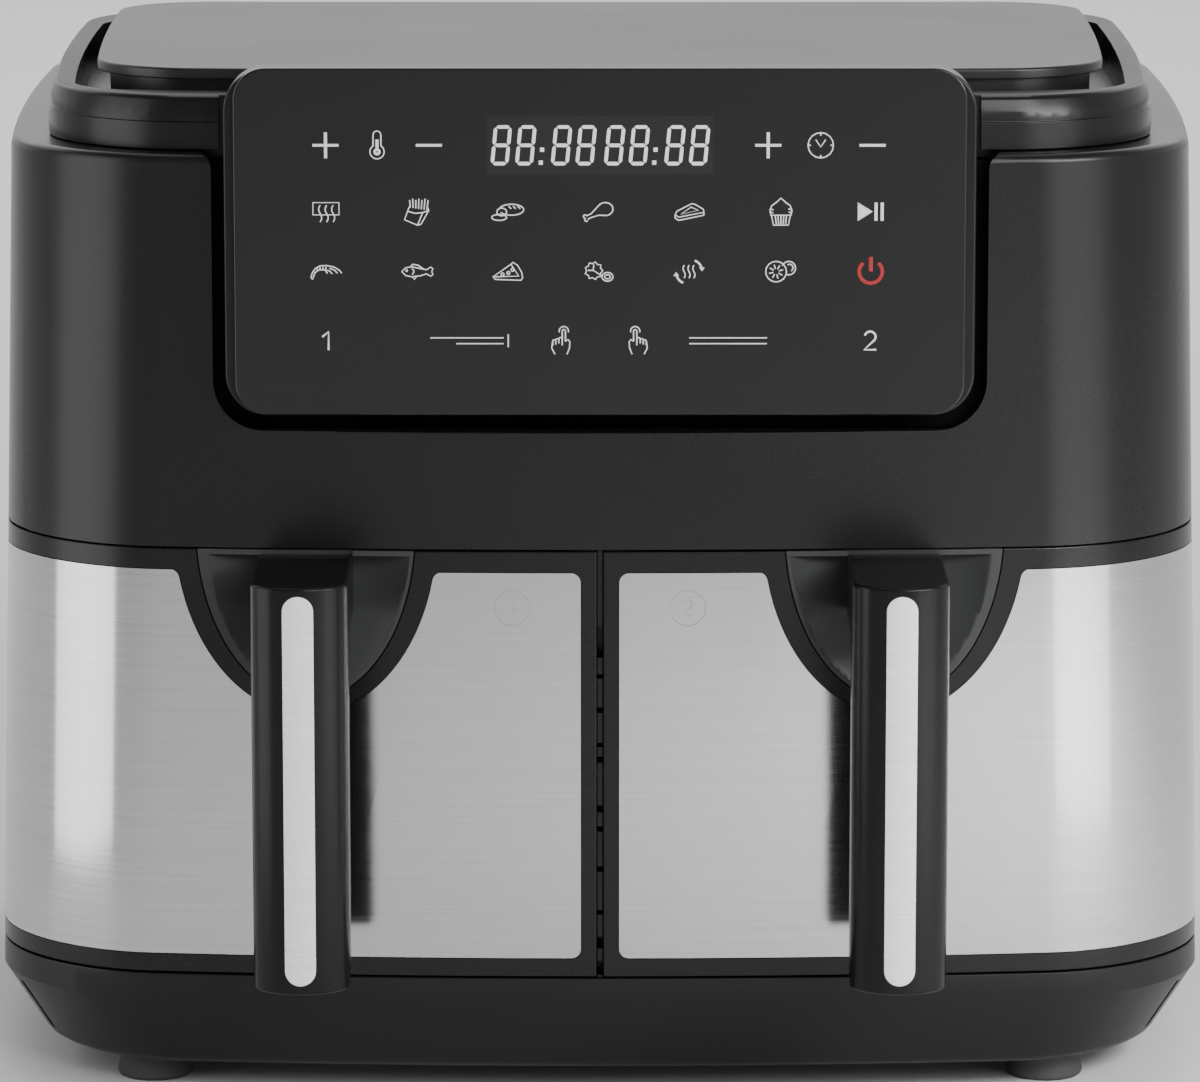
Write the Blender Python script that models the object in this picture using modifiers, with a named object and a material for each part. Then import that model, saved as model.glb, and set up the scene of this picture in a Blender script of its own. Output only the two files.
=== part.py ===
"""Dual-drawer air fryer, built as separate mouldings, sheets, drawers and fans.

Metres, +Z up, feet standing on z = 0, drawers opening towards -Y. The origin is at the
centre of the bottom of the whole appliance. Heights are measured from the floor, widths
from the centre plane and depths back from the front plane of the body.
"""
import math

import bmesh
import bpy
from mathutils import Matrix, Vector

MM = 0.001

# ---- fits -------------------------------------------------------------------------------
CLEARANCE = 0.3 * MM
SEAM_GAP = 0.6 * MM
CUT_OVER = 8 * MM
PLASTIC_WALL = 2.6 * MM
SHEET = 1.0 * MM

# ---- body plan --------------------------------------------------------------------------
BODY_DEPTH = 300 * MM
SHOULDER_HALF_WIDTH = 191.3 * MM
SIDE_DRAFT = 0.0243
FRONT_CROWN_RADIUS = 1450 * MM
SIDE_BULGE_RADIUS = 2227 * MM
SIDE_BULGE_FORWARD = 100 * MM
FRONT_CORNER_RADIUS = 50 * MM
REAR_CORNER_RADIUS = 42 * MM
FRONT_STEPS = 4
CORNER_STEPS = 9
SIDE_STEPS = 5
REAR_STEPS = 6

# ---- heights of the body ----------------------------------------------------------------
FOOT_HEIGHT = 9.1 * MM
SKIRT_HEIGHT = 23.2 * MM
SKIRT_BAND = 8.4 * MM
DRAWER_HEIGHT = 135.8 * MM
UPPER_HEIGHT = 123 * MM
SHOULDER_EDGE_RADIUS = 3 * MM

BASE_UNDERSIDE_Z = FOOT_HEIGHT + CLEARANCE
SKIRT_Z = BASE_UNDERSIDE_Z + SKIRT_HEIGHT
BASE_TOP_Z = SKIRT_Z + SKIRT_BAND
DRAWER_BOTTOM_Z = BASE_TOP_Z + SEAM_GAP
DRAWER_TOP_Z = DRAWER_BOTTOM_Z + DRAWER_HEIGHT
HOUSING_LIP_Z = DRAWER_TOP_Z + SEAM_GAP
SHOULDER_Z = HOUSING_LIP_Z + UPPER_HEIGHT

# ---- base and feet ----------------------------------------------------------------------
SKIRT_FRONT_TAPER = 10.2 * MM
SKIRT_SIDE_TAPER = 15.5 * MM
BASE_EDGE_RADIUS = 2.4 * MM
BASE_DECK_DROP = 3 * MM
BASE_DECK_THICKNESS = 2.4 * MM
FOOT_RADIUS = 12.1 * MM
FOOT_EDGE_RADIUS = 1.6 * MM
FOOT_SIDE_INSET = 55 * MM
FOOT_FRONT_INSET = 40 * MM
FOOT_REAR_INSET = 45 * MM
SKIRT_SLOT_COUNT = 7
SKIRT_SLOT_PITCH = 24 * MM
SKIRT_SLOT_FIRST = 31 * MM
SKIRT_SLOT_SIZE = (12 * MM, 3.2 * MM, 20 * MM)

# ---- collar and lid on top --------------------------------------------------------------
COLLAR_STEP_HEIGHT = 9.4 * MM
COLLAR_TOP_HEIGHT = 7.8 * MM
COLLAR_SIDE_INSET = 12.4 * MM
COLLAR_FRONT_INSET = 8.2 * MM
COLLAR_REAR_INSET = 14 * MM
COLLAR_STEP = 0.9 * MM
COLLAR_SLOPE = 1.6 * MM
COLLAR_EDGE_RADIUS = 1.6 * MM
COLLAR_SIDE_RIM = 9.2 * MM
COLLAR_FRONT_RIM = 15.5 * MM
COLLAR_REAR_RIM = 38 * MM
COLLAR_CORNER_RADIUS = 44 * MM
COLLAR_RECESS_RADIUS = 20 * MM
COLLAR_DECK_HEIGHT = 5.2 * MM
COLLAR_DECK_THICKNESS = 2.4 * MM
COLLAR_HOLLOW_INSET = 8 * MM
SHOULDER_OPENING_INSET = 34 * MM
LID_SIDE_GAP = 7.4 * MM
LID_FRONT_GAP = 1.4 * MM
LID_REAR_GAP = 8.5 * MM
LID_RISE = 24 * MM
LID_THICKNESS = 3.5 * MM
LID_CORNER_RADIUS = 30 * MM
LID_SKIRT_INSET = 8 * MM

# ---- control console --------------------------------------------------------------------
PANEL_HALF_WIDTH = 112.7 * MM
PANEL_HEIGHT = 107.6 * MM
PANEL_THICKNESS = 2.4 * MM
PANEL_PROUD = 3 * MM
PANEL_CORNER_RADIUS = 10 * MM
PANEL_EDGE = 0.5 * MM
PANEL_ABOVE_LIP = 43 * MM
BEZEL_BAND = 3.1 * MM
BEZEL_BOTTOM_DROP = 0.6 * MM
BEZEL_DEPTH = 14 * MM
BEZEL_RIM = 7 * MM
NOTCH_SIDE_GAP = 4.2 * MM
NOTCH_BOTTOM_GAP = 6 * MM
NOTCH_CORNER_RADIUS = 15.4 * MM
NOTCH_TOP_RADIUS = 4.6 * MM
CARRIER_FRONT = 8.4 * MM
BOARD_THICKNESS = 1.6 * MM
DISPLAY_BOARD_SIZE = (120 * MM, 74 * MM)
DISPLAY_BOARD_DEPTH = 3 * MM

# ---- drawer fronts ----------------------------------------------------------------------
CENTRE_POST_WIDTH = 1.5 * MM
CENTRE_POST_SETBACK = 1.2 * MM
CENTRE_POST_WINDOW_DEPTH = 8 * MM
CENTRE_POST_WINDOWS = ((0.3, 4.6), (8.9, 3.8), (19.8, 1.5), (33.6, 1.7), (46.5, 1.7), (52.7, 2.3),
                       (68.6, 2), (73.6, 1.4), (84.5, 1.8), (95.5, 1.4), (102.1, 10))
FRAME_SKIN = 3 * MM
FRAME_EAR_SKIN = 2.7 * MM
FRAME_FLANGE = 2.6 * MM
FRAME_DEPTH = 13.3 * MM
STEEL_THICKNESS = 0.8 * MM
STEEL_INNER_MARGIN = 4.95 * MM
STEEL_BOTTOM_MARGIN = 6 * MM
STEEL_TOP_MARGIN = 6.7 * MM
STEEL_CORNER_RADIUS = 3 * MM
STEEL_WRAP_SHORT = 2.9
HANDLE_X = 91.7 * MM
SCOOP_RIM_HALF_WIDTH = 41 * MM
SCOOP_RIM_HALF_HEIGHT = 58.2 * MM
SCOOP_HALF_WIDTH = 34 * MM
SCOOP_HALF_HEIGHT = 53.4 * MM
SCOOP_CENTRE_RISE = 6 * MM
SCOOP_WALL = 1.8 * MM
SCOOP_LIP = 1.6 * MM
SCOOP_RING = 0.9 * MM
INNER_COVER_THICKNESS = 2.4 * MM
INNER_COVER_SIDE = 148 * MM

# ---- handles ----------------------------------------------------------------------------
HANDLE_REACH = 53 * MM
HANDLE_HALF_WIDTH = 14.85 * MM
HANDLE_NOSE_DEPTH = 11.3 * MM
HANDLE_DEPTH = 20 * MM
HANDLE_TOP_DROP = 1.4 * MM
HANDLE_BOTTOM_RISE = 7.4 * MM
HANDLE_EDGE_RADIUS = 1.2 * MM
NECK_HALF_WIDTH = 14.4 * MM
NECK_HEIGHT = 18 * MM
NECK_BACK = 4.2 * MM
INLAY_HALF_WIDTH = 4.75 * MM
INLAY_THICKNESS = 1.2 * MM
INLAY_TOP_MARGIN = 2.6 * MM
INLAY_BOTTOM_MARGIN = 3 * MM

# ---- cooking cavities and baskets -------------------------------------------------------
LINER_INNER_X = 7 * MM
LINER_SIDE_CLEARANCE = 15.3 * MM
LINER_FRONT = 20 * MM
LINER_REAR_CLEARANCE = 16 * MM
LINER_BOTTOM_GAP = 2 * MM
LINER_TOP_RISE = 33 * MM
LINER_CORNER_RADIUS = 36 * MM
LINER_REAR_RADIUS = 20 * MM
BASKET_SIDE_GAP = 5 * MM
BASKET_FRONT = 17 * MM
BASKET_REAR_GAP = 12 * MM
BASKET_WALL = 1.4 * MM
BASKET_FLOOR_GAP = 2.6 * MM
BASKET_TOP_DROP = 9 * MM
BASKET_CORNER_RADIUS = 34 * MM
BASKET_REAR_RADIUS = 26 * MM
BASKET_TAPER = 3 * MM
RUNNER_SIZE = (4 * MM, 200 * MM)
PLATE_THICKNESS = 1.5 * MM
PLATE_STAND = 12 * MM
PLATE_EDGE_GAP = 2 * MM
PLATE_LEG_RADIUS = 4 * MM
PLATE_LEG_INSET = 22 * MM
PLATE_SLOTS = (4, 7)
PLATE_SLOT_SIZE = (18 * MM, 5 * MM)
PLATE_SLOT_PITCH = (31 * MM, 27 * MM)

# ---- heater, fans and motors ------------------------------------------------------------
FAN_BELOW_LINER = 16 * MM
FAN_RADIUS = 62 * MM
FAN_DISC = 1.2 * MM
FAN_BLADE_HEIGHT = 9 * MM
FAN_BLADE_COUNT = 8
SHAFT_RADIUS = 4 * MM
SHAFT_HOLE_RADIUS = 7 * MM
HEATER_BELOW_LINER = 27 * MM
HEATER_TUBE_RADIUS = 3.1 * MM
HEATER_INNER_RADIUS = 34 * MM
HEATER_OUTER_RADIUS = 66 * MM
HEATER_TURNS = 2.5
HEATER_POINTS_PER_TURN = 16
GUARD_BELOW_LINER = 35 * MM
GUARD_THICKNESS = 1.6 * MM
GUARD_RADIUS = 76 * MM
GUARD_BAR = 5 * MM
GUARD_INNER_RING = 40 * MM
MOTOR_PLATE_SIZE = (118 * MM, 118 * MM)
MOTOR_PLATE_THICKNESS = 1.6 * MM
MOTOR_RADIUS = 30 * MM
MOTOR_HEIGHT = 34 * MM
COOLING_FAN_RADIUS = 46 * MM
COOLING_FAN_GAP = 7 * MM
COOLING_FAN_BLADE = 8 * MM
THERMOSTAT_RADIUS = 9 * MM
THERMOSTAT_HEIGHT = 10 * MM
THERMOSTAT_X_OFFSET = 48 * MM
THERMOSTAT_Y_OFFSET = 82 * MM
SWITCH_SIZE = (16 * MM, 22 * MM, 10 * MM)
POWER_BOARD_SIZE = (96 * MM, 50 * MM)
POWER_BOARD_REAR_GAP = 22 * MM

# ---- back of the body -------------------------------------------------------------------
SPACER_REACH = 10 * MM
SPACER_SIZE = (36 * MM, 24 * MM)
SPACER_X = 112 * MM
SPACER_BELOW_SHOULDER = 190 * MM
GRILLE_HALF_WIDTH = 105 * MM
GRILLE_HEIGHT = 72 * MM
GRILLE_BELOW_SHOULDER = 20 * MM
GRILLE_CORNER_RADIUS = 6 * MM
GRILLE_ROWS = 7
GRILLE_COLUMNS = 3
GRILLE_SLOT_SIZE = (56 * MM, 4 * MM)
GRILLE_PITCH = (66 * MM, 9 * MM)
GLAND_RADIUS = 9 * MM
GLAND_NOSE_RADIUS = 6 * MM
GLAND_FLANGE = 3 * MM
GLAND_X = 128 * MM
GLAND_Z = 66 * MM

# ---- values worked out from the above ---------------------------------------------------
FRONT_Y = (HANDLE_REACH - BODY_DEPTH - SPACER_REACH) / 2
COLLAR_FOOT_Z = SHOULDER_Z + CLEARANCE
COLLAR_STEP_Z = SHOULDER_Z + COLLAR_STEP_HEIGHT
COLLAR_TOP_Z = COLLAR_STEP_Z + COLLAR_TOP_HEIGHT
COLLAR_DECK_Z = SHOULDER_Z + COLLAR_DECK_HEIGHT
LID_TOP_Z = SHOULDER_Z + LID_RISE
PANEL_BOTTOM_Z = HOUSING_LIP_Z + PANEL_ABOVE_LIP
PANEL_TOP_Z = PANEL_BOTTOM_Z + PANEL_HEIGHT
BEZEL_FRONT = PANEL_THICKNESS + CLEARANCE - PANEL_PROUD
BEZEL_BACK = BEZEL_FRONT + BEZEL_DEPTH
NOTCH_HALF_WIDTH = PANEL_HALF_WIDTH + BEZEL_BAND + NOTCH_SIDE_GAP
NOTCH_BOTTOM_Z = PANEL_BOTTOM_Z - NOTCH_BOTTOM_GAP
NOTCH_DEPTH = BEZEL_BACK + CLEARANCE + PLASTIC_WALL + CLEARANCE
STEEL_BOTTOM_Z = DRAWER_BOTTOM_Z + STEEL_BOTTOM_MARGIN
STEEL_TOP_Z = DRAWER_TOP_Z - STEEL_TOP_MARGIN
SCOOP_CENTRE_Z = DRAWER_TOP_Z + SCOOP_CENTRE_RISE
HANDLE_TOP_Z = DRAWER_TOP_Z - HANDLE_TOP_DROP
HANDLE_BOTTOM_Z = DRAWER_BOTTOM_Z + HANDLE_BOTTOM_RISE
INNER_COVER_Y = FRAME_DEPTH + CLEARANCE
DRAWER_CENTRE_GAP = CENTRE_POST_WIDTH + 2 * CLEARANCE
LINER_BOTTOM_Z = BASE_TOP_Z + LINER_BOTTOM_GAP
LINER_TOP_Z = HOUSING_LIP_Z + LINER_TOP_RISE
LINER_OUTER_X = SHOULDER_HALF_WIDTH - LINER_SIDE_CLEARANCE
LINER_REAR = BODY_DEPTH - LINER_REAR_CLEARANCE
LINER_HALF_WIDTH = (LINER_OUTER_X - LINER_INNER_X) / 2
LINER_X = (LINER_OUTER_X + LINER_INNER_X) / 2
BASKET_REAR = LINER_REAR - BASKET_REAR_GAP
BASKET_HALF_WIDTH = LINER_HALF_WIDTH - BASKET_SIDE_GAP
BASKET_BOTTOM_Z = LINER_BOTTOM_Z + SHEET + BASKET_FLOOR_GAP
BASKET_TOP_Z = DRAWER_TOP_Z - BASKET_TOP_DROP
PLATE_Z = BASKET_BOTTOM_Z + BASKET_WALL + PLATE_STAND
FAN_CENTRE = (LINER_FRONT + LINER_REAR) / 2
FAN_DISC_Z = LINER_TOP_Z - FAN_BELOW_LINER
HEATER_Z = LINER_TOP_Z - HEATER_BELOW_LINER
GUARD_Z = LINER_TOP_Z - GUARD_BELOW_LINER
MOTOR_PLATE_Z = LINER_TOP_Z + CLEARANCE
MOTOR_Z = MOTOR_PLATE_Z + MOTOR_PLATE_THICKNESS + CLEARANCE
COOLING_FAN_Z = MOTOR_Z + MOTOR_HEIGHT + COOLING_FAN_GAP
GRILLE_TOP_Z = SHOULDER_Z - GRILLE_BELOW_SHOULDER
GRILLE_Z = GRILLE_TOP_Z - GRILLE_HEIGHT / 2

BLACK_GLOSS = ((0.020, 0.022, 0.021), 0.22, 0.0)
BLACK_SATIN = ((0.018, 0.019, 0.019), 0.45, 0.0)
PANEL_BLACK = ((0.028, 0.030, 0.029), 0.12, 0.0)
BRUSHED_STEEL = ((0.62, 0.62, 0.61), 0.32, 1.0)
BRIGHT_STEEL = ((0.82, 0.82, 0.81), 0.25, 1.0)
ZINC_SHEET = ((0.50, 0.51, 0.52), 0.45, 1.0)
COATED_BASKET = ((0.030, 0.030, 0.032), 0.40, 0.2)
RUBBER = ((0.022, 0.022, 0.022), 0.80, 0.0)
BOARD_GREEN = ((0.030, 0.160, 0.070), 0.50, 0.0)
MOTOR_GREY = ((0.36, 0.36, 0.37), 0.40, 0.9)

SIDES = (("left", -1), ("right", 1))


# ---- scene helpers ----------------------------------------------------------------------
def clear_scene():
    """Remove every object that the file starts with."""
    for thing in list(bpy.data.objects):
        bpy.data.objects.remove(thing, do_unlink=True)


def new_collection(name):
    """Return a collection of this name, linked to the scene."""
    group = bpy.data.collections.new(name)
    bpy.context.scene.collection.children.link(group)
    return group


def new_material(name, finish):
    """Return a Principled material from a (colour, roughness, metallic) finish."""
    colour, roughness, metallic = finish
    material = bpy.data.materials.new(name)
    material.use_nodes = True
    shader = material.node_tree.nodes["Principled BSDF"]
    shader.inputs["Base Color"].default_value = (*colour, 1)
    shader.inputs["Roughness"].default_value = roughness
    shader.inputs["Metallic"].default_value = metallic
    return material


def at(x, depth, z):
    """Return the world position of a point given by its depth behind the front plane."""
    return Vector((x, FRONT_Y + depth, z))


class Workshop:
    """Adds finished parts to one collection and the tools that cut them to another."""

    def __init__(self):
        self.parts = new_collection("air_fryer")
        self.cutters = new_collection("cutters")

    def link(self, name, mesh, origin, group):
        """Add an object for a mesh drawn in world coordinates, with its origin moved."""
        mesh.transform(Matrix.Translation(-Vector(origin)))
        thing = bpy.data.objects.new(name, mesh)
        thing.location = origin
        group.objects.link(thing)
        return thing

    def part(self, name, mesh, finish, origin=(0, 0, 0), parent=None, smooth=False):
        """Add a named sub-part with its own material."""
        thing = self.link(name, mesh, origin, self.parts)
        mesh.materials.append(new_material(name, finish))
        if smooth:
            mesh.shade_smooth()
        if parent is not None:
            thing.parent = parent
            thing.location = Vector(origin) - parent.location
        return thing

    def cutter(self, name, mesh):
        """Add a tool solid that is never rendered."""
        thing = self.link(name, mesh, (0, 0, 0), self.cutters)
        thing.hide_render = True
        thing.display_type = "WIRE"
        return thing

    def pivot(self, name, origin):
        """Add an empty that carries the pieces of one moving body."""
        empty = bpy.data.objects.new(name, None)
        empty.location = origin
        self.parts.objects.link(empty)
        return empty


def combine(thing, tool, operation="DIFFERENCE"):
    """Cut, join or intersect an object with a tool solid."""
    modifier = thing.modifiers.new(tool.name, "BOOLEAN")
    modifier.operation = operation
    modifier.solver = "EXACT"
    modifier.object = tool


def bevel(thing, width, segments=2, angle=50):
    """Round the edges of an object that are sharper than an angle in degrees."""
    modifier = thing.modifiers.new("edge", "BEVEL")
    modifier.width = width
    modifier.segments = segments
    modifier.limit_method = "ANGLE"
    modifier.angle_limit = math.radians(angle)


# ---- mesh helpers -----------------------------------------------------------------------
def to_mesh(name, bm):
    """Turn a bmesh into a mesh whose faces look outwards."""
    bmesh.ops.recalc_face_normals(bm, faces=bm.faces)
    mesh = bpy.data.meshes.new(name)
    bm.to_mesh(mesh)
    bm.free()
    return mesh


def box(low, high):
    """Return a box between two corners, given as (x, depth, z)."""
    low, high = at(*low), at(*high)
    size = high - low
    bm = bmesh.new()
    spread = Matrix.Diagonal((abs(size.x), abs(size.y), abs(size.z), 1))
    bmesh.ops.create_cube(bm, size=1, matrix=Matrix.Translation((low + high) / 2) @ spread)
    return to_mesh("box", bm)


def side_box(side, low, high):
    """Return a box given for the right side, mirrored when side is -1."""
    return box((side * low[0], *low[1:]), (side * high[0], *high[1:]))


def cylinder(centre, radius, height, segments=32, turn=None, end_radius=None):
    """Return a cylinder or cone about +Z from its base centre, or turned by a matrix."""
    bm = bmesh.new()
    lift = Matrix.Translation((0, 0, height / 2))
    pose = Matrix.Translation(centre) @ (turn or Matrix.Identity(4)) @ lift
    top = radius if end_radius is None else end_radius
    bmesh.ops.create_cone(bm, cap_ends=True, segments=segments, radius1=radius, radius2=top,
                          depth=height, matrix=pose)
    return to_mesh("cylinder", bm)


def extruded(points, push):
    """Return the solid that a flat outline of world points sweeps along a vector."""
    bm = bmesh.new()
    face = bm.faces.new([bm.verts.new(point) for point in points])
    swept = bmesh.ops.extrude_face_region(bm, geom=[face])
    moved = [item for item in swept["geom"] if isinstance(item, bmesh.types.BMVert)]
    bmesh.ops.translate(bm, verts=moved, vec=push)
    return to_mesh("extruded", bm)


def lofted(rings):
    """Return the closed solid through a stack of rings with equal numbers of points."""
    bm = bmesh.new()
    loops = [[bm.verts.new(point) for point in ring] for ring in rings]
    for low, high in zip(loops, loops[1:]):
        for i in range(len(low)):
            j = (i + 1) % len(low)
            bm.faces.new((low[i], low[j], high[j], high[i]))
    bm.faces.new(loops[0])
    bm.faces.new(loops[-1])
    return to_mesh("lofted", bm)


def turned(workshop, name, profile, finish, origin, steps=32, parent=None):
    """Add a part turned about its own Z axis from (radius, height) points, top first."""
    bm = bmesh.new()
    verts = [bm.verts.new((radius, 0, height)) for radius, height in profile]
    for first, second in zip(verts, verts[1:]):
        bm.edges.new((first, second))
    mesh = bpy.data.meshes.new(name)
    bm.to_mesh(mesh)
    bm.free()
    mesh.transform(Matrix.Translation(origin))
    thing = workshop.part(name, mesh, finish, origin, parent)
    screw = thing.modifiers.new("turn", "SCREW")
    screw.steps = steps
    screw.render_steps = steps
    screw.use_merge_vertices = True
    screw.merge_threshold = 0.00001
    return thing


def arc(cx, cy, rx, ry, start, end, steps):
    """Return points along an elliptical arc between two angles in degrees."""
    turns = [math.radians(start + (end - start) * i / steps) for i in range(steps + 1)]
    return [(cx + rx * math.cos(a), cy + ry * math.sin(a)) for a in turns]


def rounded_rectangle(left, right, bottom, top, radii, steps=5):
    """Return a rectangle's outline with (bottom left, bottom right, top right, top left) radii."""
    corners = ((left, bottom, 1, 1, 180), (right, bottom, -1, 1, 270),
               (right, top, -1, -1, 0), (left, top, 1, -1, 90))
    points = []
    for (x, y, dx, dy, start), radius in zip(corners, radii):
        if radius == 0:
            points.append((x, y))
        else:
            points += arc(x + dx * radius, y + dy * radius, radius, radius, start, start + 90, steps)
    return points


def upright_prism(outline, front, back):
    """Return an (x, z) outline swept from one depth to another."""
    return extruded([at(x, front, z) for x, z in outline], (0, back - front, 0))


def plan_prism(outline, bottom, top):
    """Return an (x, depth) outline swept from one height to another."""
    return extruded([at(x, y, bottom) for x, y in outline], (0, 0, top - bottom))


# ---- the body's plan --------------------------------------------------------------------
def half_width(z):
    """Return the widest half width of the body at a height, from the draft of its sides."""
    return SHOULDER_HALF_WIDTH + (SHOULDER_Z - z) * SIDE_DRAFT


def crowned(x, depth, widest):
    """Bow a plan point by the crown of the front and the bulge of the sides."""
    bulge_y = BODY_DEPTH - SIDE_BULGE_FORWARD
    narrowing = (depth - bulge_y) ** 2 / (2 * SIDE_BULGE_RADIUS)
    crown = x * x / (2 * FRONT_CROWN_RADIUS) * (1 - depth / BODY_DEPTH)
    return x - narrowing * x / widest, depth + crown


def front_path(z, inset, from_x=0.0, end_angle=0.0):
    """Return plan points along the front and round its corner, on the right side."""
    widest = half_width(z) - inset
    radius = FRONT_CORNER_RADIUS - inset
    start = widest - radius
    points = [(start * i / FRONT_STEPS, inset) for i in range(FRONT_STEPS)]
    points += arc(start, inset + radius, radius, radius, -90, end_angle, CORNER_STEPS)
    path = [crowned(x, y, half_width(z)) for x, y in points]
    slope = (path[1][1] - path[0][1]) / (path[1][0] - path[0][0])
    return [(from_x, path[0][1] + slope * (from_x - path[0][0]))] + path[1:]


def half_plan(z, side, front, rear, front_radius, rear_radius):
    """Return plan points from the front centre to the rear centre for these insets."""
    widest = half_width(z) - side
    start = widest - front_radius
    end_y = BODY_DEPTH - rear
    points = [(start * i / FRONT_STEPS, front) for i in range(FRONT_STEPS)]
    points += arc(start, front + front_radius, front_radius, front_radius, -90, 0, CORNER_STEPS)
    side_start = front + front_radius
    side_run = end_y - rear_radius - side_start
    points += [(widest, side_start + side_run * i / SIDE_STEPS) for i in range(1, SIDE_STEPS)]
    points += arc(widest - rear_radius, end_y - rear_radius, rear_radius, rear_radius,
                  0, 90, REAR_STEPS)
    points.append((0, end_y))
    return [crowned(x, y, half_width(z)) for x, y in points]


def mirrored_ring(half, z):
    """Return the closed ring at a height of a half plan and its mirror image."""
    other = [(-x, y) for x, y in half[-2:0:-1]]
    return [at(x, y, z) for x, y in half + other]


def body_ring(z, inset, side_more=0.0):
    """Return the body's outline at a height, moved inwards by an inset."""
    half = half_plan(z, inset + side_more, inset, inset, max(FRONT_CORNER_RADIUS - inset, MM),
                     max(REAR_CORNER_RADIUS - inset, MM))
    return mirrored_ring(half, z)


def collar_ring(z, inset):
    """Return the collar's outline at a height, moved inwards by an inset."""
    corner = COLLAR_CORNER_RADIUS - inset
    half = half_plan(z, COLLAR_SIDE_INSET + inset, COLLAR_FRONT_INSET + inset,
                     COLLAR_REAR_INSET + inset, corner, corner)
    return mirrored_ring(half, z)


def recess_ring(z):
    """Return the outline of the recess in the collar that the lid stands in."""
    half = half_plan(z, COLLAR_SIDE_INSET + COLLAR_SIDE_RIM,
                     COLLAR_FRONT_INSET + COLLAR_FRONT_RIM,
                     COLLAR_REAR_INSET + COLLAR_REAR_RIM,
                     COLLAR_RECESS_RADIUS, COLLAR_RECESS_RADIUS)
    return mirrored_ring(half, z)


def corner_block(side, bottom, top, inset, from_x, past=0.0):
    """Return the solid behind the front skin, from one x round the corner to its end."""
    rings = []
    for z in (bottom, top):
        path = front_path(z, inset, from_x)
        last_x, last_y = path[-1]
        plan = path + [(last_x, last_y + past)] * (past > 0) + [(from_x, last_y + past)]
        rings.append([at(side * x, y, z) for x, y in plan])
    return lofted(rings)


def front_strip(side, bottom, top, outer, inner, from_x, end_angle):
    """Return a curved strip of the front between two insets, round the corner."""
    rings = []
    for z in (bottom, top):
        plan = front_path(z, outer, from_x, end_angle)
        plan += front_path(z, inner, from_x, end_angle)[::-1]
        rings.append([at(side * x, y, z) for x, y in plan])
    return lofted(rings)


def wrap_depth():
    """Return how far back the drawer fronts reach round the corner."""
    return front_path(DRAWER_BOTTOM_Z, 0)[-1][1]


# ---- base -------------------------------------------------------------------------------
def build_base(shop):
    """Build the tray under the drawers, its inner deck and the four feet."""
    levels = ((BASE_UNDERSIDE_Z, SKIRT_FRONT_TAPER + BASE_EDGE_RADIUS, 1),
              (BASE_UNDERSIDE_Z + BASE_EDGE_RADIUS, SKIRT_FRONT_TAPER, 1),
              (SKIRT_Z, 0, 0), (BASE_TOP_Z, 0, 0))
    lean = SKIRT_SIDE_TAPER - SKIRT_FRONT_TAPER
    outer = [body_ring(z, inset, more * lean) for z, inset, more in levels]
    tray = shop.part("base_tray", lofted(outer), BLACK_GLOSS)
    floor = BASE_UNDERSIDE_Z + PLASTIC_WALL
    hollow = [body_ring(floor, SKIRT_FRONT_TAPER + PLASTIC_WALL, lean),
              body_ring(SKIRT_Z, PLASTIC_WALL),
              body_ring(BASE_TOP_Z + CUT_OVER, PLASTIC_WALL)]
    combine(tray, shop.cutter("tray_hollow", lofted(hollow)))
    for name, side in SIDES:
        for index in range(SKIRT_SLOT_COUNT):
            slot = skirt_slot(side, SKIRT_SLOT_FIRST + index * SKIRT_SLOT_PITCH)
            combine(tray, shop.cutter(f"skirt_slot_{name}_{index}", slot))
    deck_top = BASE_TOP_Z - BASE_DECK_DROP
    deck_inset = PLASTIC_WALL + CLEARANCE
    deck = [body_ring(z, deck_inset) for z in (deck_top - BASE_DECK_THICKNESS, deck_top)]
    shop.part("base_deck", lofted(deck), BLACK_SATIN)
    build_feet(shop)


def skirt_slot(side, depth):
    """Return a leaning vent slot through the base's taper, square to its side or corner."""
    wide, deep, tall = SKIRT_SLOT_SIZE
    middle_z = BASE_UNDERSIDE_Z + SKIRT_HEIGHT / 2
    inset = SKIRT_SIDE_TAPER / 2
    before = max(0, FRONT_CORNER_RADIUS - depth)
    aside = math.asin(before / FRONT_CORNER_RADIUS)
    reach = FRONT_CORNER_RADIUS * (1 - math.cos(aside)) + inset * math.cos(aside)
    widest = half_width(middle_z)
    x, depth = crowned(widest - reach, depth + inset * math.sin(aside), widest)
    lean = Matrix.Rotation(side * math.atan2(SKIRT_SIDE_TAPER, SKIRT_HEIGHT), 4, "Y")
    turn = Matrix.Rotation(-side * aside, 4, "Z")
    pose = Matrix.Translation(at(side * x, depth, middle_z)) @ turn @ lean
    bm = bmesh.new()
    bmesh.ops.create_cube(bm, size=1, matrix=pose @ Matrix.Diagonal((wide, deep, tall, 1)))
    return to_mesh("slot", bm)


def build_feet(shop):
    """Build four round rubber feet under the tray."""
    x = half_width(SKIRT_Z) - FOOT_SIDE_INSET
    rows = (("front", FOOT_FRONT_INSET), ("rear", BODY_DEPTH - FOOT_REAR_INSET))
    edge = arc(FOOT_RADIUS - FOOT_EDGE_RADIUS, FOOT_EDGE_RADIUS, FOOT_EDGE_RADIUS,
               FOOT_EDGE_RADIUS, 0, -90, 3)
    profile = [(0, FOOT_HEIGHT), (FOOT_RADIUS, FOOT_HEIGHT)] + edge + [(0, 0)]
    for row, depth in rows:
        for name, side in SIDES:
            turned(shop, f"foot_{row}_{name}", profile, RUBBER, at(side * x, depth, 0), 24)


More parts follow.
